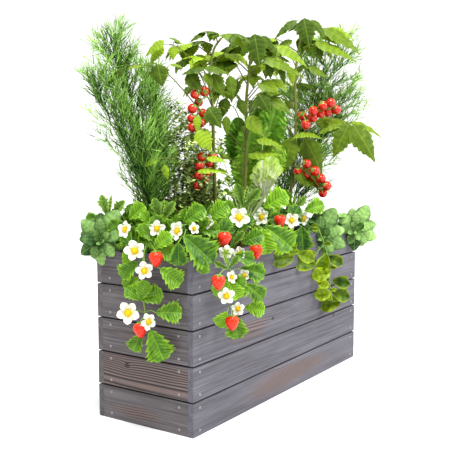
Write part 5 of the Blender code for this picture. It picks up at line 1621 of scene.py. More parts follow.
@dataclass
class Strawberry(Plant):
    """One strawberry plant.

    Sprigs are (x, y, z, leaflets of (clock, length)), and young ones stand up half folded.
    Flowers are (x, y, z, width, turn in degrees) and berries (x, y, z). A runner trails through
    its own places. Filler is how many more leaves stand round the crown.
    """

    crown: Spot
    sprigs: tuple
    flowers: tuple[Row, ...]
    runner: tuple[Place, ...] = ()
    young: tuple = ()
    berries: tuple[Place, ...] = ()
    filler: int = 14
    crown_radius: float = 0.008
    crown_levels: Spot = (0.464, 0.478)
    fill_limits: Spot = (0.52, 0.2)
    leaf_stalk: Radii = (0.0014, 0.001)
    flower_stalk: Radii = (0.0013, 0.0012)
    berry_stalk: Radii = (0.0012, 0.0011)
    runner_radii: Radii = (0.0024, 0.0014)
    crown_shape: tuple[Spot, ...] = ((0.0, 0.008), (0.03, 0.01), (0.04, 0.014), (0.052, 0.008),
                                     (0.057, 0.002))
    petals: int = 5
    stamens: int = 26
    heart_height: float = 0.0058
    seeds: int = 46
    sepals: int = 9
    berry_shape: tuple[Spot, ...] = (
        (0.0, 0.004), (0.001, 0.01), (0.004, 0.015), (0.009, 0.018), (0.015, 0.0188),
        (0.022, 0.017), (0.029, 0.0136), (0.035, 0.0096), (0.04, 0.005), (0.042, 0.0015))
    slot = "strawberry_plant"

    def start(self, end: Vector) -> Vector:
        """Where on the crown a stalk to an end begins.

        Args:
            end: the stalk's end.

        Returns:
            The place.
        """
        heading = math.atan2(end.y - self.crown[1], end.x - self.crown[0])
        return Vector((self.crown[0] + self.crown_radius * math.cos(heading),
                       self.crown[1] + self.crown_radius * math.sin(heading),
                       self.draw(*self.crown_levels)))

    def stalk_path(self, strand: Path, end: Vector) -> Path:
        """The way of a stalk, from the runner's strand where it is near, or else the crown.

        Args:
            strand: the plant's runner, or nothing.
            end: the stalk's end.

        Returns:
            Its path.
        """
        near = [place for place in strand if (place - end).length < 0.1]
        if near:
            return bowed(nearest(near, end), end, 0.5, UP * 0.006, 6)
        return smooth_path(over_rim(self.start(end), end, 0.01), 9)

    def sprig(self, strand: Path, spec: tuple, young: bool) -> None:
        """Adds a leaf of one to three toothed leaflets on its stalk.

        Args:
            strand: the plant's runner, or nothing.
            spec: the sprig, as the class says.
            young: whether it stands up half folded.
        """
        foot = Vector(spec[:3])
        self.tube(self.stalk_path(strand, foot), self.leaf_stalk, sides=5)
        facing = TOWARD + UP * (0.15 if young else 0.5)
        tint = self.draw(0.1, 0.85)
        leaflets = spec[3]
        for number, (clock, length) in enumerate(leaflets):
            way = clock_way(clock) + TOWARD * 0.2
            if not young:
                self.leaf(foot, way, facing, length, STRAWBERRY_CUT, Dress.STRAWBERRY_LEAF, tint)
            elif len(leaflets) == 3 and number == 1:
                self.leaf(foot, way, facing, length * 1.25, SLIVER_CUT,
                          Dress.STRAWBERRY_YOUNG_LEAF, 0.95)
            else:
                self.leaf(foot, way, facing, length * 1.25, YOUNG_CUT,
                          Dress.STRAWBERRY_YOUNG_LEAF, 0.34)

    def flower(self, strand: Path, spec: Row) -> None:
        """Adds a white flower of five petals round a yellow heart.

        Args:
            strand: the plant's runner, or nothing.
            spec: the flower, as the class says.
        """
        width, turn = spec[3:]
        centre = Vector(spec[:3])
        axis = (Matrix.Rotation(math.radians(turn), 3, "Z") @ TOWARD + UP * 0.25).normalized()
        self.tube(self.stalk_path(strand, centre), self.flower_stalk, sides=5)
        side, top = (Vector(row) for row in leaf_axes(axis, UP)[1:])
        base = centre + axis * 0.004
        begin = self.draw(0.0, 6.0)
        for number in range(self.petals):
            angle = begin + 2 * math.pi * number / self.petals + self.draw(-0.08, 0.08)
            way = turned(side, top, angle)
            length = (width / 2 - width * 0.07) * self.draw(0.94, 1.06)
            self.leaf(base + way * width * 0.07 + axis * 0.0006 * (number % 2), way, axis, length,
                      PETAL_CUT, Dress.STRAWBERRY_PETAL, 0.6)
            sepal = turned(side, top, angle + math.pi / self.petals)
            self.leaf(base - axis * 0.001 + sepal * 0.002, sepal, axis, width * 0.3, SEPAL_CUT,
                      Dress.STRAWBERRY_YOUNG_LEAF, 0.4)
        reach = width * 0.165
        self.turn(base, axis, ((0.0, reach * 0.9), (0.0015, reach), (0.0035, reach * 0.86),
                               (0.0052, reach * 0.5), (self.heart_height, 0.0004)),
                  Dress.STRAWBERRY_FLOWER_HEART)
        for number in range(self.stamens):
            spread = reach * (0.35 + 0.72 * math.sqrt(number / self.stamens))
            spot = base + turned(side, top, SPIRAL * number) * spread
            height = self.heart_height - 0.0022 * (spread / reach) ** 2
            self.turn(spot + axis * (height - 0.001), axis,
                      ((0.0, 0.0004), (0.0012, 0.001), (0.0026, 0.0003)),
                      Dress.STRAWBERRY_FLOWER_HEART, 5)

    def berry(self, strand: Path, spec: Place) -> None:
        """Adds a berry that hangs tip down under its sepals, with seeds on its skin.

        Args:
            strand: the plant's runner, or nothing.
            spec: its place.
        """
        top = Vector(spec) + UP * 0.02
        self.tube(self.stalk_path(strand, top), self.berry_stalk, sides=5)
        down = Vector((self.draw(-0.12, 0.12), self.draw(-0.12, 0.12), -1.0)).normalized()
        self.turn(top, down, self.berry_shape, Dress.STRAWBERRY_SKIN, 16)
        side, other = (Vector(row) for row in leaf_axes(down, ASLANT)[1:])
        runs, radii = zip(*self.berry_shape)
        for number in range(self.seeds):
            run = 0.004 + 0.034 * (number + 0.5) / self.seeds
            reach = float(np.interp(run, runs, radii))
            way = turned(side, other, SPIRAL * number)
            self.turn(top + down * run + way * (reach - 0.0003), way,
                      ((0.0, 0.0004), (0.0004, 0.0007), (0.0008, 0.0003)), Dress.STRAWBERRY_SEED,
                      4)
        for number in range(self.sepals):
            angle = 2 * math.pi * number / self.sepals + self.draw(-0.15, 0.15)
            way = turned(side, other, angle) + down * self.draw(-0.3, 0.25)
            self.leaf(top - down * 0.0008, way, -down, 0.016, SEPAL_CUT,
                      Dress.STRAWBERRY_YOUNG_LEAF, 0.35, 0.7)

    def fill(self) -> None:
        """Adds more leaves of three leaflets all round the crown."""
        for number in range(self.filler):
            angle = 2 * math.pi * (number + self.draw(0.2, 0.8)) / self.filler
            out = Vector((math.cos(angle), math.sin(angle), 0.0))
            reach = self.draw(0.02, 0.085)
            end = above(self.crown, 0.0) + out * reach + UP * self.draw(0.5, 0.575)
            end += BEHIND * 0.035
            limit_x, limit_y = self.fill_limits
            end.x = min(max(end.x, -limit_x), limit_x)
            end.y = min(max(end.y, -limit_y), limit_y)
            start = self.start(end)
            middle = self.start(end).lerp(end, 0.6) + UP * 0.015
            self.tube(smooth_path([start, middle, end], 6), self.leaf_stalk, sides=5)
            # The filler leaves inside the clump take darker tints: painted shade.
            tint = self.draw(0.0, 0.6)
            first = self.draw(-0.6, 0.6)
            for turn in (-1.15, 0.0, 1.15):
                way = turned(UP, UP.cross(out), turn + first) + out * 0.5
                self.leaf(end, way, UP * 0.5 + out * 0.8 + TOWARD * 0.3, self.draw(0.042, 0.06),
                          FILLER_CUT, Dress.STRAWBERRY_LEAF, tint)

    def grow(self) -> None:
        """Grows the crown, its runner and all that they carry."""
        self.turn(above(self.crown, ROOT_LEVEL), UP, self.crown_shape, Dress.GREEN_STALK, 9)
        strand: Path = []
        if self.runner:
            places = [Vector(place) for place in self.runner]
            strand = smooth_path([self.start(places[0])] + places, 18)
            self.tube(strand, self.runner_radii)
        for spec in self.berries:
            self.berry(strand, spec)
        for spec in self.flowers:
            self.flower(strand, spec)
        for spec in self.young:
            self.sprig(strand, spec, True)
        for spec in self.sprigs:
            self.sprig(strand, spec, False)
        self.fill()


STRAWBERRIES = (
    Strawberry(
        "strawberry_left_end", (-0.43, 0.06),
        sprigs=(
            (-0.475, 0.175, 0.575, ((-85, 0.045),)), (-0.48, 0.065, 0.58, ((45, 0.06),)),
            (-0.47, 0, 0.57, ((-30, 0.04),)), (-0.52, -0.03, 0.535, ((-15, 0.045),)),
            (-0.53, 0.045, 0.495, ((150, 0.032),))),
        young=((-0.47, 0.15, 0.575, ((-14, 0.06), (10, 0.06), (42, 0.06))),),
        flowers=(
            (-0.52, 0.04, 0.556, 0.052, -40), (-0.55, -0.015, 0.505, 0.06, 0),
            (-0.565, -0.06, 0.457, 0.052, 0)),
        berries=((-0.555, -0.09, 0.49),)),
    Strawberry(
        "strawberry_trail_end", (-0.45, -0.02), filler=4,
        runner=(
            (-0.508, -0.03, 0.53), (-0.545, -0.035, 0.47), (-0.548, -0.04, 0.38), (-0.545, -0.05, 0.31)),
        sprigs=(
            (-0.54, -0.02, 0.43, ((-110, 0.05),)), (-0.543, -0.018, 0.475, ((-128, 0.062),)),
            (-0.555, -0.035, 0.375, ((-45, 0.05), (15, 0.055), (68, 0.065))),
            (-0.55, -0.085, 0.345, ((85, 0.07),)), (-0.545, -0.03, 0.28, ((-150, 0.055),)),
            (-0.55, -0.065, 0.295, ((155, 0.09),)), (-0.55, -0.1, 0.465, ((122, 0.07),))),
        flowers=((-0.575, -0.01, 0.34, 0.065, 0), (-0.575, -0.085, 0.325, 0.048, -30)),
        berries=((-0.57, -0.045, 0.297),)),
    Strawberry(
        "strawberry_corner", (-0.42, -0.11),
        sprigs=(
            (-0.45, -0.105, 0.58, ((52, 0.068),)), (-0.535, -0.07, 0.515, ((45, 0.058), (105, 0.055))),
            (-0.505, -0.145, 0.55, ((128, 0.105),)), (-0.53, -0.145, 0.535, ((178, 0.062),)),
            (-0.48, -0.195, 0.49, ((-172, 0.04),))),
        young=((-0.45, -0.025, 0.575, ((-14, 0.06), (10, 0.056), (34, 0.06))),),
        flowers=(
            (-0.505, -0.055, 0.563, 0.048, 0), (-0.495, -0.12, 0.56, 0.055, -40),
            (-0.465, -0.145, 0.565, 0.034, 35))),
    Strawberry(
        "strawberry_trail_front", (-0.36, -0.11), filler=3,
        runner=(
            (-0.385, -0.178, 0.53), (-0.392, -0.212, 0.47), (-0.388, -0.214, 0.4),
            (-0.375, -0.212, 0.335)),
        sprigs=(
            (-0.375, -0.135, 0.585, ((50, 0.065),)), (-0.33, -0.21, 0.445, ((100, 0.07),)),
            (-0.4, -0.216, 0.425, ((-142, 0.058), (150, 0.06))), (-0.355, -0.208, 0.487, ((104, 0.055),)),
            (-0.29, -0.205, 0.395, ((128, 0.065),)),
            (-0.38, -0.215, 0.395, ((-20, 0.04), (45, 0.047), (90, 0.047))),
            (-0.3, -0.205, 0.33, ((95, 0.058),)), (-0.415, -0.222, 0.34, ((-145, 0.048),)),
            (-0.365, -0.21, 0.325, ((170, 0.072),))),
        young=(
            (-0.33, -0.175, 0.505, ((42, 0.05),)),
            (-0.41, -0.222, 0.455, ((-60, 0.036), (-14, 0.04), (35, 0.04)))),
        flowers=(
            (-0.415, -0.218, 0.5, 0.044, 180), (-0.335, -0.215, 0.488, 0.042, -35),
            (-0.405, -0.225, 0.433, 0.036, 40), (-0.348, -0.238, 0.43, 0.04, -40),
            (-0.445, -0.24, 0.39, 0.048, 0), (-0.385, -0.24, 0.345, 0.04, -20)),
        berries=((-0.4, -0.205, 0.535), (-0.475, -0.235, 0.43), (-0.42, -0.24, 0.312))),
    Strawberry(
        "strawberry_front", (-0.22, -0.1), filler=7,
        sprigs=(
            (-0.225, -0.125, 0.585, ((-45, 0.05),)), (-0.26, -0.172, 0.505, ((60, 0.065),)),
            (-0.18, -0.188, 0.543, ((170, 0.08),))),
        young=((-0.18, -0.12, 0.6, ((-16, 0.065), (12, 0.058), (42, 0.065))),),
        flowers=(
            (-0.395, -0.15, 0.577, 0.044, -40), (-0.27, -0.165, 0.58, 0.064, 0),
            (-0.14, -0.165, 0.57, 0.058, -40)),
        berries=((-0.26, -0.215, 0.485),)),
    Strawberry(
        "strawberry_right", (0.05, -0.1), filler=9,
        sprigs=(
            (-0.06, -0.12, 0.592, ((55, 0.085),)), (0.05, -0.128, 0.57, ((-65, 0.036),)),
            (0.203, -0.12, 0.56, ((65, 0.07),)), (-0.142, -0.175, 0.543, ((125, 0.105),)),
            (0.06, -0.188, 0.525, ((175, 0.08),))),
        young=((0.125, -0.112, 0.562, ((-15, 0.065), (13, 0.052), (42, 0.058))),),
        flowers=((0.035, -0.165, 0.545, 0.052, 0), (0.15, -0.15, 0.54, 0.05, -40)),
        berries=((-0.04, -0.165, 0.55),)),
    Strawberry(
        "strawberry_back_left", (-0.13, 0.125), filler=11,
        sprigs=(
            (-0.2, 0.165, 0.565, ((-75, 0.07),)), (-0.2, 0.195, 0.53, ((-125, 0.07),)),
            (-0.15, 0.21, 0.525, ((170, 0.08),)), (-0.075, 0.185, 0.55, ((-10, 0.065),)),
            (-0.1, 0.2, 0.535, ((140, 0.075),))),
        flowers=((-0.13, 0.205, 0.565, 0.05, 180),),
        berries=((-0.16, 0.215, 0.48),)),
    Strawberry(
        "strawberry_back_right", (0.205, 0.122), filler=11,
        sprigs=(
            (0.14, 0.165, 0.57, ((-60, 0.065),)), (0.13, 0.195, 0.535, ((-110, 0.075),)),
            (0.17, 0.21, 0.525, ((-170, 0.075),)), (0.27, 0.19, 0.555, ((0, 0.07),)),
            (0.24, 0.2, 0.53, ((150, 0.08),))),
        flowers=((0.19, 0.205, 0.57, 0.05, 180),),
        berries=((0.18, 0.215, 0.485),)))


@dataclass
class Oregano(Plant):
    """A rosette of crinkled oval leaves at the end of a bent stem.

    Each whorl is (how far forward it opens, how its leaves droop, its leaves), and each leaf is
    (clock, lean to the front, length). The stem also has pairs of leaves at shares of its way.
    """

    root: Spot
    heart: Place
    size: float
    whorls: tuple = (
        (-0.006, 0.35, ((-75, 0.0, 0.06), (-5, -0.05, 0.066), (75, 0.05, 0.074),
                        (150, 0.1, 0.064), (205, 0.1, 0.06))),
        (0.006, 0.35, ((-125, 0.15, 0.066), (-45, 0.1, 0.07), (28, 0.1, 0.086),
                       (110, 0.1, 0.078), (180, 0.2, 0.07))),
        (0.014, 0.25, ((-155, 0.45, 0.052), (-85, 0.4, 0.054), (0, 0.4, 0.056), (70, 0.4, 0.058),
                       (140, 0.4, 0.056))),
        (0.02, 0.1, ((-110, 0.9, 0.036), (-30, 0.9, 0.038), (50, 0.9, 0.038), (165, 0.9, 0.04))),
        (0.025, -0.2, ((-70, 1.6, 0.024), (20, 1.6, 0.024), (110, 1.6, 0.022),
                       (200, 1.6, 0.024))))
    joints: Row = (0.3, 0.5, 0.7)
    joint_leaf: float = 0.034
    clear_of_soil: float = 0.475
    bend: float = 0.465
    foot_radii: Radii = (0.0038, 0.0034)
    stem_radii: Radii = (0.003, 0.0018)
    slot = "oregano_leaf"

    def grow(self) -> None:
        """Grows the stem and the rosette."""
        heart = Vector(self.heart)
        self.tube([above(self.root, ROOT_LEVEL), above(self.root, self.clear_of_soil)],
                  self.foot_radii, sides=8)
        path = smooth_path(over_rim(above(self.root, self.bend), heart, 0.015)
                           + [heart + TOWARD * 0.026], 14)
        self.tube(path, self.stem_radii, sides=7)
        facing = (TOWARD + UP * 0.3).normalized()
        for forward, droop, leaves in self.whorls:
            for clock, lean, length in leaves:
                way = clock_way(clock) + TOWARD * lean
                foot = heart + TOWARD * forward + way.normalized() * 0.003
                self.leaf(foot, way, facing, length * self.size, OREGANO_CUT, Dress.OREGANO_LEAF,
                          self.draw(0.05, 0.98), droop)
        for share in self.joints:
            for turn in (0.0, math.pi):
                way = Matrix.Rotation(turn + 4 * share, 3, "Z") @ ACROSS + UP * 0.3
                self.leaf(along(path, share)[0], way, UP, self.joint_leaf * self.size,
                          OREGANO_CUT, Dress.OREGANO_LEAF, 0.3)


OREGANOS = (
    Oregano("oregano_left", (-0.45, 0.1), (-0.5, 0.15, 0.522), 1.07),
    Oregano("oregano_right", (0.25, -0.11), (0.236, -0.16, 0.478), 1.2),
    Oregano("oregano_far_right", (0.43, -0.11), (0.447, -0.19, 0.482), 1.08))


@dataclass
class Creeper(Plant):
    """A creeping plant: cupped leaves with bright edges along a stem that trails over the rim.

    Leaves are (x, y, z, clock, length, tint).
    """

    root: Spot
    stem: tuple[Place, ...]
    leaves: tuple[Row, ...]
    clear_of_soil: float = 0.47
    bend: float = 0.462
    foot_radii: Radii = (0.0028, 0.0026)
    stem_radii: Radii = (0.0022, 0.0012)
    leaf_stalk: Radii = (0.0009, 0.0007)
    slot = "creeper_leaf"

    def grow(self) -> None:
        """Grows the stem with its large leaves and the small ones between them."""
        self.tube([above(self.root, ROOT_LEVEL), above(self.root, self.clear_of_soil)],
                  self.foot_radii, sides=7)
        stem = smooth_path([above(self.root, self.bend)] + [Vector(place) for place in self.stem],
                           26)
        self.tube(stem, self.stem_radii)
        for x, y, z, clock, length, tint in self.leaves:
            foot = Vector((x, y, z))
            self.tube(bowed(nearest(stem, foot), foot, 0.6, UP * 0.003, 4), self.leaf_stalk,
                      sides=4)
            self.leaf(foot, clock_way(clock) + TOWARD * 0.2, TOWARD + UP * 0.3, length * 1.22,
                      CREEPER_CUT, Dress.CREEPER_LEAF, tint)
        for number in range(0, len(stem) - 2, 3):
            side = 1 if number % 2 else -1
            way = ACROSS * side + UP * 0.2 + TOWARD * 0.3
            self.leaf(stem[number + 1] + TOWARD * 0.002, way, TOWARD + UP * 0.5,
                      self.draw(0.016, 0.026), CREEPER_CUT, Dress.CREEPER_LEAF,
                      self.draw(0.3, 0.9))


CREEPERS = (
    Creeper(
        "creeper_short", (-0.02, -0.13),
        stem=((-0.02, -0.178, 0.52), (-0.03, -0.205, 0.47), (-0.035, -0.208, 0.445)),
        leaves=(
            (0.005, -0.2, 0.47, -125, 0.052, 0.4), (-0.04, -0.215, 0.44, -95, 0.062, 0.3),
            (-0.01, -0.215, 0.45, 110, 0.045, 0.5))),
    Creeper(
        "creeper_long", (0.15, -0.13),
        stem=(
            (0.165, -0.178, 0.52), (0.19, -0.205, 0.45), (0.215, -0.208, 0.38), (0.225, -0.208, 0.31),
            (0.245, -0.208, 0.255)),
        leaves=(
            (0.105, -0.215, 0.4, -80, 0.062, 0.3), (0.195, -0.21, 0.42, -155, 0.05, 0.4),
            (0.215, -0.205, 0.41, 115, 0.046, 0.1), (0.2, -0.222, 0.365, -105, 0.055, 0.9),
            (0.25, -0.205, 0.325, 100, 0.05, 0.15), (0.195, -0.22, 0.315, -65, 0.036, 1),
            (0.25, -0.205, 0.285, 105, 0.052, 0.2), (0.21, -0.22, 0.29, -95, 0.048, 0.95),
            (0.275, -0.222, 0.25, -95, 0.066, 0.5), (0.13, -0.205, 0.43, -90, 0.03, 0.6))))


@dataclass
class Lettuce(Plant):
    """A tall lettuce of crinkled leaves on pale ribs.

    Leaves are (end across, end up, end behind, width, tint) from its foot, hearts are the pale
    inner leaves (end across, end up, end behind, width) that fan out from its neck, and shoots are
    the tops of its buds.
    """

    name: str = "lettuce"
    foot: Spot = (0.11, 0.07)
    leaves: tuple[Row, ...] = (
        (0.115, 0.925, 0.0, 0.11, 0.35), (-0.015, 0.87, 0.03, 0.1, 0.3),
        (0.03, 0.86, -0.02, 0.09, 0.4), (0.06, 0.9, 0.06, 0.09, 0.3),
        (0.13, 0.78, -0.05, 0.08, 0.7), (0.0, 0.76, -0.05, 0.08, 0.6),
        (0.08, 0.83, 0.08, 0.09, 0.4))
    hearts: tuple[Row, ...] = (
        (0.028, 0.7, -0.08, 0.038), (0.043, 0.728, -0.09, 0.04), (0.059, 0.748, -0.1, 0.04),
        (0.075, 0.76, -0.1, 0.04), (0.092, 0.764, -0.1, 0.04), (0.108, 0.752, -0.09, 0.038),
        (0.125, 0.724, -0.08, 0.036), (0.052, 0.695, -0.12, 0.03), (0.08, 0.705, -0.125, 0.032),
        (0.104, 0.694, -0.12, 0.03))
    neck: Place = (0.073, 0.618, -0.06)
    shoots: tuple[Place, ...] = ((-0.075, 0.76, -0.03), (0.075, 0.835, -0.06),
                                 (-0.05, 0.66, -0.05))
    clear_of_soil: float = 0.482
    heart_level: float = 0.478
    blade_share: float = 0.74
    bud_stalk: Radii = (0.0022, 0.0011)
    rib_radii: Radii = (0.005, 0.0012)
    heart_rib: Radii = (0.006, 0.0018)
    bud_leaves: int = 14
    slot = "lettuce_leaf"

    def shoot(self, spec: Place) -> None:
        """Adds a pale bud of small leaves on a long thin stalk to its top.

        Args:
            spec: the top, as the class says.
        """
        path = bowed(above(self.foot, self.clear_of_soil), point(*spec, self.foot), 0.5,
                     ACROSS * 0.01, 8)
        self.tube(path, self.bud_stalk, Dress.LETTUCE_RIB, 5)
        for number in range(self.bud_leaves):
            angle = SPIRAL * number
            level = Vector((math.cos(angle), math.sin(angle), 0.0))
            share = number / (self.bud_leaves - 1)
            way = level * (1.0 - 0.75 * share) + UP * (0.3 + share)
            place = along(path, 0.9 + 0.095 * share)[0]
            self.leaf(place, way, UP - level * 0.3, 0.034 * (1.1 - 0.5 * share), SHOOT_CUT,
                      Dress.LETTUCE_LEAF, 0.9)
        for share in (0.45, 0.7):
            for side in (1, -1):
                self.leaf(along(path, share)[0], ACROSS * side + UP * 0.5, UP + TOWARD * 0.5,
                          0.045, SHOOT_CUT, Dress.LETTUCE_LEAF, 0.7)

    def outer_leaves(self) -> None:
        """Adds the large leaves, each on its rib."""
        for number, (across, up, behind, width, tint) in enumerate(self.leaves):
            angle = 2 * math.pi * number / len(self.leaves)
            end = point(across, up, behind, self.foot)
            start = (above(self.foot, self.clear_of_soil)
                     + Vector((math.cos(angle), math.sin(angle), 0.0)) * 0.007)
            bow = start.lerp(end, 0.35) + UP * 0.02
            foot = start + (bow - start) * 0.9
            self.tube(smooth_path([start, start.lerp(foot, 0.5), foot + (end - foot) * 0.5], 8),
                      self.rib_radii, Dress.LETTUCE_RIB, 7)
            length = (end - start).length * self.blade_share
            self.leaf(foot - (foot - start) * 0.25, end - foot, TOWARD + UP * 0.3, length,
                      replace(LETTUCE_CUT, aspect=width / length), Dress.LETTUCE_LEAF, tint)

    def grow(self) -> None:
        """Grows the stem, the leaves, the pale heart and the buds."""
        self.turn(above(self.foot, ROOT_LEVEL), UP,
                  ((0.0, 0.011), (0.03, 0.012), (0.05, 0.014), (0.062, 0.008)),
                  Dress.LETTUCE_RIB)
        self.outer_leaves()
        neck = point(*self.neck, self.foot)
        start = above(self.foot, self.heart_level) - BEHIND * 0.012
        for across, up, behind, width in self.hearts:
            end = point(across, up, behind, self.foot)
            waist = neck + Vector((end.x - neck.x, end.y - neck.y, 0.0)) * 0.1
            reach = end - waist
            self.tube(smooth_path([start, start.lerp(waist, 0.5), waist, waist + reach * 0.5], 9),
                      self.heart_rib, Dress.LETTUCE_RIB, 7)
            self.leaf(waist, reach, TOWARD + UP * 0.2, reach.length,
                      replace(HEART_CUT, aspect=width / reach.length), Dress.LETTUCE_HEART,
                      self.draw(0.2, 0.9))
        for spec in self.shoots:
            self.shoot(spec)


@dataclass
class Thyme(Plant):
    """A bush of thin twigs with pairs of tiny leaves.

    Tops are (end across, end up, end behind) from its foot, and each is a bundle of twigs that
    fork at the joints. The oval is a tiny leaf's edge and the middles of its two sides, as shares
    of its length.
    """

    name: str = "thyme"
    foot: Spot = (-0.215, 0.055)
    tops: tuple[Place, ...] = (
        (-0.055, 0.925, 0.0), (0.005, 0.9, 0.02), (-0.115, 0.79, -0.02), (0.07, 0.79, 0.03),
        (-0.13, 0.67, 0.02), (0.06, 0.66, -0.03), (-0.085, 0.87, 0.02), (0.03, 0.84, -0.04))
    bundle: int = 10
    scatter: float = 0.048
    twig_radius: float = 0.0011
    twig_pairs: int = 20
    fork_radius: float = 0.0007
    fork_pairs: int = 6
    joints: Row = (0.5, 0.68, 0.84)
    clear_of_soil: float = 0.462
    oval: tuple[Place, ...] = (
        (0.0, 0.0, 0.0), (0.3, 0.27, 0.05), (0.72, 0.25, 0.03), (1.0, 0.0, -0.08),
        (0.72, -0.25, 0.03), (0.3, -0.27, 0.05), (0.5, 0.0, 0.02), (0.5, 0.0, -0.03))
    slot = "thyme_leaf"

    def twig(self, path: Path, radius: float, pairs: int, start: float) -> list[tuple]:
        """Adds one twig and lays out its small leaves in pairs.

        Args:
            path: its middle line.
            radius: how thick it starts.
            pairs: how many pairs of leaves it has.
            start: the share of it where its leaves begin.

        Returns:
            The foot, way, facing, length and tint of each leaf.
        """
        self.tube(path, (radius, radius * 0.5), Dress.THYME_TWIG, 4)
        leaves = []
        for pair in range(pairs):
            share = start + (0.99 - start) * (pair + self.draw(-0.4, 0.4)) / (pairs - 1)
            place, heading = along(path, min(max(share, 0.0), 0.99))
            heading.normalize()
            level = heading.cross(self.stray(0.2))
            for sign in (1, -1):
                way = level.normalized() * sign + heading * self.draw(0.2, 0.9)
                facing = heading + TOWARD * self.draw(-0.6, 0.6)
                leaves.append((place, way, facing, self.draw(0.011, 0.019),
                               min(self.rng.random() ** 1.15 * 1.1, 0.98)))
        return leaves

    def flecks(self, leaves: list[tuple]) -> None:
        """Adds the tiny leaves of twelve faces each.

        Args:
            leaves: the foot, way, facing, length and tint of each.
        """
        feet, ways, facings, lengths, tints = (np.array(part) for part in zip(*leaves))
        x_axis = unit(ways)
        z_axis = unit(facings - x_axis * np.sum(facings * x_axis, axis=1, keepdims=True))
        axes = np.stack((x_axis, np.cross(z_axis, x_axis), z_axis), 1)
        oval = np.array(self.oval)
        points = feet[:, None] + np.einsum("pc,ncx,n->npx", oval, axes, lengths)
        faces = np.array([(6, (side + 1) % 6, side) for side in range(6)]
                         + [(7, side, (side + 1) % 6) for side in range(6)])
        count = len(leaves)
        triangles = (faces[None] + len(oval) * np.arange(count)[:, None, None]).reshape(-1, 3)
        marks = np.stack((np.tile(oval[:, 0], count), np.tile(np.abs(oval[:, 1]) * 3, count),
                          np.repeat(tints, len(oval)), np.tile((1, 1, 1, 1, 1, 1, 0, 0), count)), 1)
        self.add(points.reshape(-1, 3), triangles, marks, Dress.THYME_LEAF)

    def grow(self) -> None:
        """Grows the bush."""
        self.turn(above(self.foot, ROOT_LEVEL), UP,
                  ((0.0, 0.0058), (0.04, 0.0056), (0.048, 0.004)), Dress.THYME_TWIG, 8)
        leaves = []
        for across, up, behind in self.tops:
            for number in range(self.bundle):
                scatter = self.scatter if number else 0.0
                end = point(across + self.draw(-scatter, scatter),
                            up - (self.draw(-0.01, 0.15) if number else 0.0),
                            behind + 0.02 + self.draw(0.0, 2 * scatter), self.foot)
                start = above(self.foot, self.clear_of_soil) + self.stray(0.0) * 0.003
                path = bowed(start, end, 0.5, ACROSS * (across * 0.25 + self.draw(-0.02, 0.02)),
                             12)
                leaves += self.twig(path, self.twig_radius, self.twig_pairs, self.draw(0.12, 0.35))
                for share in self.joints:
                    joint, heading = along(path, share)
                    reach = (heading.normalized() * 0.8 + self.stray(0.5)).normalized() * 0.06
                    branch = smooth_path([joint, joint + reach * 0.5 + UP * 0.004, joint + reach],
                                         4)
                    leaves += self.twig(branch, self.fork_radius, self.fork_pairs, 0.2)
        self.flecks(leaves)


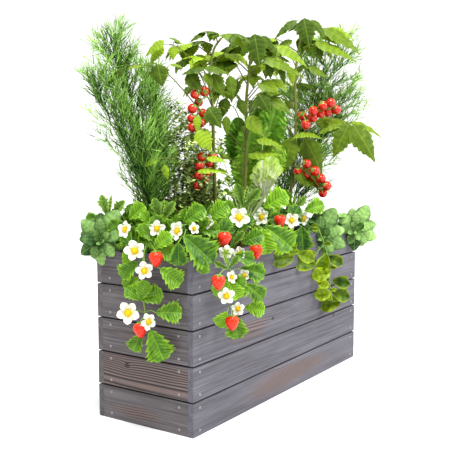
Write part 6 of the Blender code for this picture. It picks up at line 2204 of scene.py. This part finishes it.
@dataclass
class Dill(Plant):
    """One stem of dill with feathery fronds all round it.

    The top is (across, up, behind) from its foot. Wisps are long single fronds: (share of the
    stem, tip across, tip up, tip behind). Each node of a frond has threads on both sides, and
    each thread forks.
    """

    foot: Spot
    top: Place
    fronds: int = 36
    nodes: int = 8
    threads: int = 2
    thread_radius: float = 0.0014
    stem_radii: Radii = (0.003, 0.001)
    frond_stalk: Radii = (0.0012, 0.0006)
    lowest: float = 0.08
    tint: float = 0.5
    spread: float = 0.55
    frond_length: float = 0.155
    near: float = -0.35
    far: float = 0.35
    base_level: float = 0.464
    clear_of_soil: float = 0.48
    wisps: tuple[Row, ...] = ()
    slot = "dill_leaf"

    def stem_path(self) -> Path:
        """Lays out the stem.

        Returns:
            Its middle line.
        """
        across, up, behind = self.top
        middle = point(across * 0.32, 0.5 * (self.base_level + up), behind * 0.4, self.foot)
        rise = above(self.foot, self.clear_of_soil)
        return ([above(self.foot, ROOT_LEVEL)]
                + smooth_path([rise, middle, point(*self.top, self.foot)], 18))

    def frond(self, place: Vector, reach: Vector) -> list[tuple[Vector, Vector]]:
        """Adds one frond's stalk and lays out its threads.

        Args:
            place: where it leaves the stem.
            reach: from there to its tip.

        Returns:
            The start and tip of each thread.
        """
        length = reach.length
        tip = place + reach.normalized() * length
        path = bowed(place, tip, 0.5, UP * length * 0.1, 8)
        self.tube(path, self.frond_stalk, sides=4)
        threads = []
        for node in range(self.nodes):
            share = 0.18 + 0.8 * node / (self.nodes - 1)
            root, heading = along(path, share)
            heading.normalize()
            flat = heading.cross(Matrix.Rotation(self.draw(-0.8, 0.8), 3, heading) @ UP)
            for side in (1, -1):
                for _ in range(self.threads):
                    swing = Vector([self.draw(-1, 1) for _ in range(3)])
                    fine = (flat.normalized() * side * self.draw(0.2, 0.9) + swing * 0.3
                            + heading * self.draw(0.5, 1.1) + UP * 0.25).normalized()
                    reach = self.draw(0.045, 0.105) * (1.15 - 0.4 * share)
                    fork = root + fine * reach * self.draw(0.3, 0.6)
                    turn = Matrix.Rotation(self.draw(-0.7, 0.7), 3, TOWARD) @ fine
                    forked = (turn + swing * 0.15).normalized() * reach * 0.6
                    threads += [(root, root + fine * reach), (fork, fork + forked)]
        return threads

    def needles(self, starts: np.ndarray, tips: np.ndarray, tints: np.ndarray) -> None:
        """Adds the threads, three-sided and pointed.

        Args:
            starts: where they start, one row each.
            tips: where they end.
            tints: the mark of each, from dark to light.
        """
        x_axis = unit(tips - starts)
        side = unit(np.cross(x_axis, np.array((0.12, 0.35, 0.93))))
        other = np.cross(x_axis, side)
        ring = [starts + (side * math.cos(angle) + other * math.sin(angle)) * self.thread_radius
                for angle in (0.0, 2 * math.pi / 3, 4 * math.pi / 3)]
        points = np.stack(ring + [tips], 1)
        faces = np.array(((0, 2, 1), (0, 1, 3), (1, 2, 3), (2, 0, 3)))
        count = len(starts)
        triangles = (faces[None] + 4 * np.arange(count)[:, None, None]).reshape(-1, 3)
        marks = np.zeros((4 * count, 4))
        marks[3::4, 0] = 1.0
        marks[:, 2] = np.repeat(tints, 4)
        self.add(points.reshape(-1, 3), triangles, marks, Dress.DILL_THREAD)

    def grow(self) -> None:
        """Grows the stem, its fronds and its wisps, with lighter threads away from the stem and painted
        shade on those near it.
        """
        stem = self.stem_path()
        self.tube(stem, self.stem_radii, sides=7)
        fronds = []
        for number in range(self.fronds):
            share = self.lowest + (0.99 - self.lowest) * (number + 0.5) / self.fronds
            side = 1 if number % 2 else -1
            length = self.frond_length * (1.1 - 0.5 * share) * self.draw(0.7, 1.05)
            way = ACROSS * side * self.spread * self.draw(0.1, 1.0) + UP * self.draw(0.6, 1.0)
            way += BEHIND * self.draw(self.near, self.far)
            fronds.append((along(stem, share)[0], way.normalized() * length))
        for share, across, up, behind in self.wisps:
            place, _ = along(stem, share)
            fronds.append((place, point(across, up, behind, self.foot) - place))
        threads = []
        for place, reach in fronds:
            threads += self.frond(place, reach)
        starts, tips = (np.array(ends) for ends in zip(*threads))
        # Threads near the stem get darker tints, as painted shade inside the plume.
        off = (starts + tips)[:, None] / 2 - np.array(stem)[None]
        away = np.linalg.norm(off, axis=2).min(1)
        chance = np.array([self.rng.gauss(0.0, 0.32) for _ in threads])
        self.needles(starts, tips, np.clip(self.tint + (away - 0.07) * 8.0 + chance, 0.0, 0.98))


DILLS = (
    Dill(
        "dill_left_1", (-0.29, 0.11), (-0.14, 1.05, 0.02), fronds=30, near=-0.3, far=-0.05,
        frond_length=0.17, lowest=0.15, spread=0.45,
        wisps=(
            (0.25, -0.19, 0.885, -0.09), (0.5, -0.175, 1.02, -0.1), (0.55, -0.165, 1.08, -0.07),
            (0.8, -0.13, 1.11, -0.05), (0.5, 0, 1, 0))),
    Dill(
        "dill_left_2", (-0.32, 0.09), (-0.18, 0.93, -0.02), fronds=24, near=-0.25, far=-0.05, spread=0.3,
        lowest=0.2,
        wisps=((0.25, -0.16, 0.82, -0.05), (0.1, -0.1, 0.69, -0.03))),
    Dill(
        "dill_left_3", (-0.24, 0.125), (-0.045, 0.96, 0.03), near=-0.3, far=0, tint=0.75, fronds=19,
        spread=0.3, lowest=0.25, frond_length=0.15),
    Dill(
        "dill_right_1", (0.36, 0.1), (0.24, 1.09, 0), tint=0.62, fronds=46, spread=1.1, frond_length=0.21,
        wisps=(
            (0.6, 0.1, 1.1, 0), (0.7, 0.17, 1.15, 0), (0.75, 0.3, 1.02, 0), (0.5, 0.24, 0.96, 0),
            (0.6, 0.28, 0.97, 0))),
    Dill(
        "dill_right_2", (0.4, 0.06), (0.19, 0.93, 0), tint=0.62, fronds=40, spread=1.2, frond_length=0.2,
        wisps=(
            (0.5, 0.25, 0.87, 0), (0.6, 0.28, 0.92, 0), (0.3, 0.17, 0.72, 0), (0.15, 0.1, 0.63, 0),
            (0.5, 0.22, 0.8, 0))))


@dataclass
class Studio:
    """The pale floor, the soft light and the camera.

    Lamps are (name, place, side, power in watts, colour), and each looks at the aim.
    """

    floor_size: float = 40.0
    floor_colours: tuple[Colour, Colour] = ((0.955, 0.955, 0.955), (0.965, 0.965, 0.965))
    lamps: tuple = (("key", (1.2, -2.8, 2.2), 1.2, 64.0, (1.0, 0.98, 0.96)),
                    ("top", (-0.9, -0.7, 3.2), 1.0, 90.0, (1.0, 1.0, 1.0)))
    aim: Place = (0.0, 0.0, 0.5)
    surroundings: float = 1.06
    camera_place: Place = (-2.218, -1.434, 0.813)
    camera_way: Place = (0.82469, 0.55458, -0.11105)
    lens: float = 64.95

    def floor(self) -> None:
        """Lays the pale floor."""
        half = self.floor_size / 2
        spots = ((-half, -half, 0.0), (half, -half, 0.0), (half, half, 0.0), (-half, half, 0.0))
        mesh = bpy.data.meshes.new("studio_floor")
        mesh.from_pydata(spots, [], [(0, 1, 2, 3)])
        recipe = Recipe("pale_floor", 0.9, specular=0.0)
        paper = recipe.noise(recipe.place(), 3.0)
        mesh.materials.append(recipe.finish(recipe.mix(paper, *self.floor_colours)))
        floor = stand("studio_floor", mesh)
        floor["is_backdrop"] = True

    def look(self, body: bpy.types.Object, place: Place, way: Vector) -> None:
        """Puts a lamp or camera at a place and turns it to look along a way."""
        body.location = place
        body.rotation_euler = way.to_track_quat("-Z", "Y").to_euler()

    def build(self) -> None:
        """Sets up the floor, the lamps, the white surroundings and the camera."""
        self.floor()
        for name, place, side, power, colour in self.lamps:
            light = bpy.data.lights.new(name, "AREA")
            light.size = side
            light.energy = power
            light.color = colour
            self.look(stand(name, light), place, Vector(self.aim) - Vector(place))
        scene = bpy.context.scene
        world = bpy.data.worlds.new("white_surroundings")
        world.use_nodes = True
        background = world.node_tree.nodes["Background"]
        background.inputs["Color"].default_value = (1.0, 1.0, 1.0, 1.0)
        background.inputs["Strength"].default_value = self.surroundings
        scene.world = world
        scene.view_settings.view_transform = "Standard"
        scene.view_settings.look = "Medium High Contrast"
        data = bpy.data.cameras.new("camera")
        data.lens = self.lens
        camera = stand("camera", data)
        self.look(camera, self.camera_place, Vector(self.camera_way))
        scene.camera = camera
        log.info("studio ready")


def corners(bounds: tuple[Vector, Vector]) -> list[list[float]]:
    """A box's two corners as plain lists."""
    return [[float(part) for part in corner] for corner in bounds]


def main() -> None:
    """Loads the bed's solids, dresses the bed and grows the plants."""
    logging.basicConfig(level=logging.INFO, format="%(message)s")
    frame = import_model()
    nodes = frame["nodes"]
    solid_box = corners(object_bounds())
    Walls().build(nodes)
    Inside().build(nodes)
    Screws().build(Steel().material())
    earth = Earth().material()
    wear(nodes["soil"], earth)
    Soil().build(earth)
    for plant in (*TOMATO_PLANTS, *TRUSSES, *OREGANOS, *STRAWBERRIES, *CREEPERS, Lettuce(), Thyme(),
                  *DILLS):
        plant.build()
    Studio().build()
    {"cad": solid_box, "visual": corners(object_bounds())}


if __name__ == "__main__":
    main()
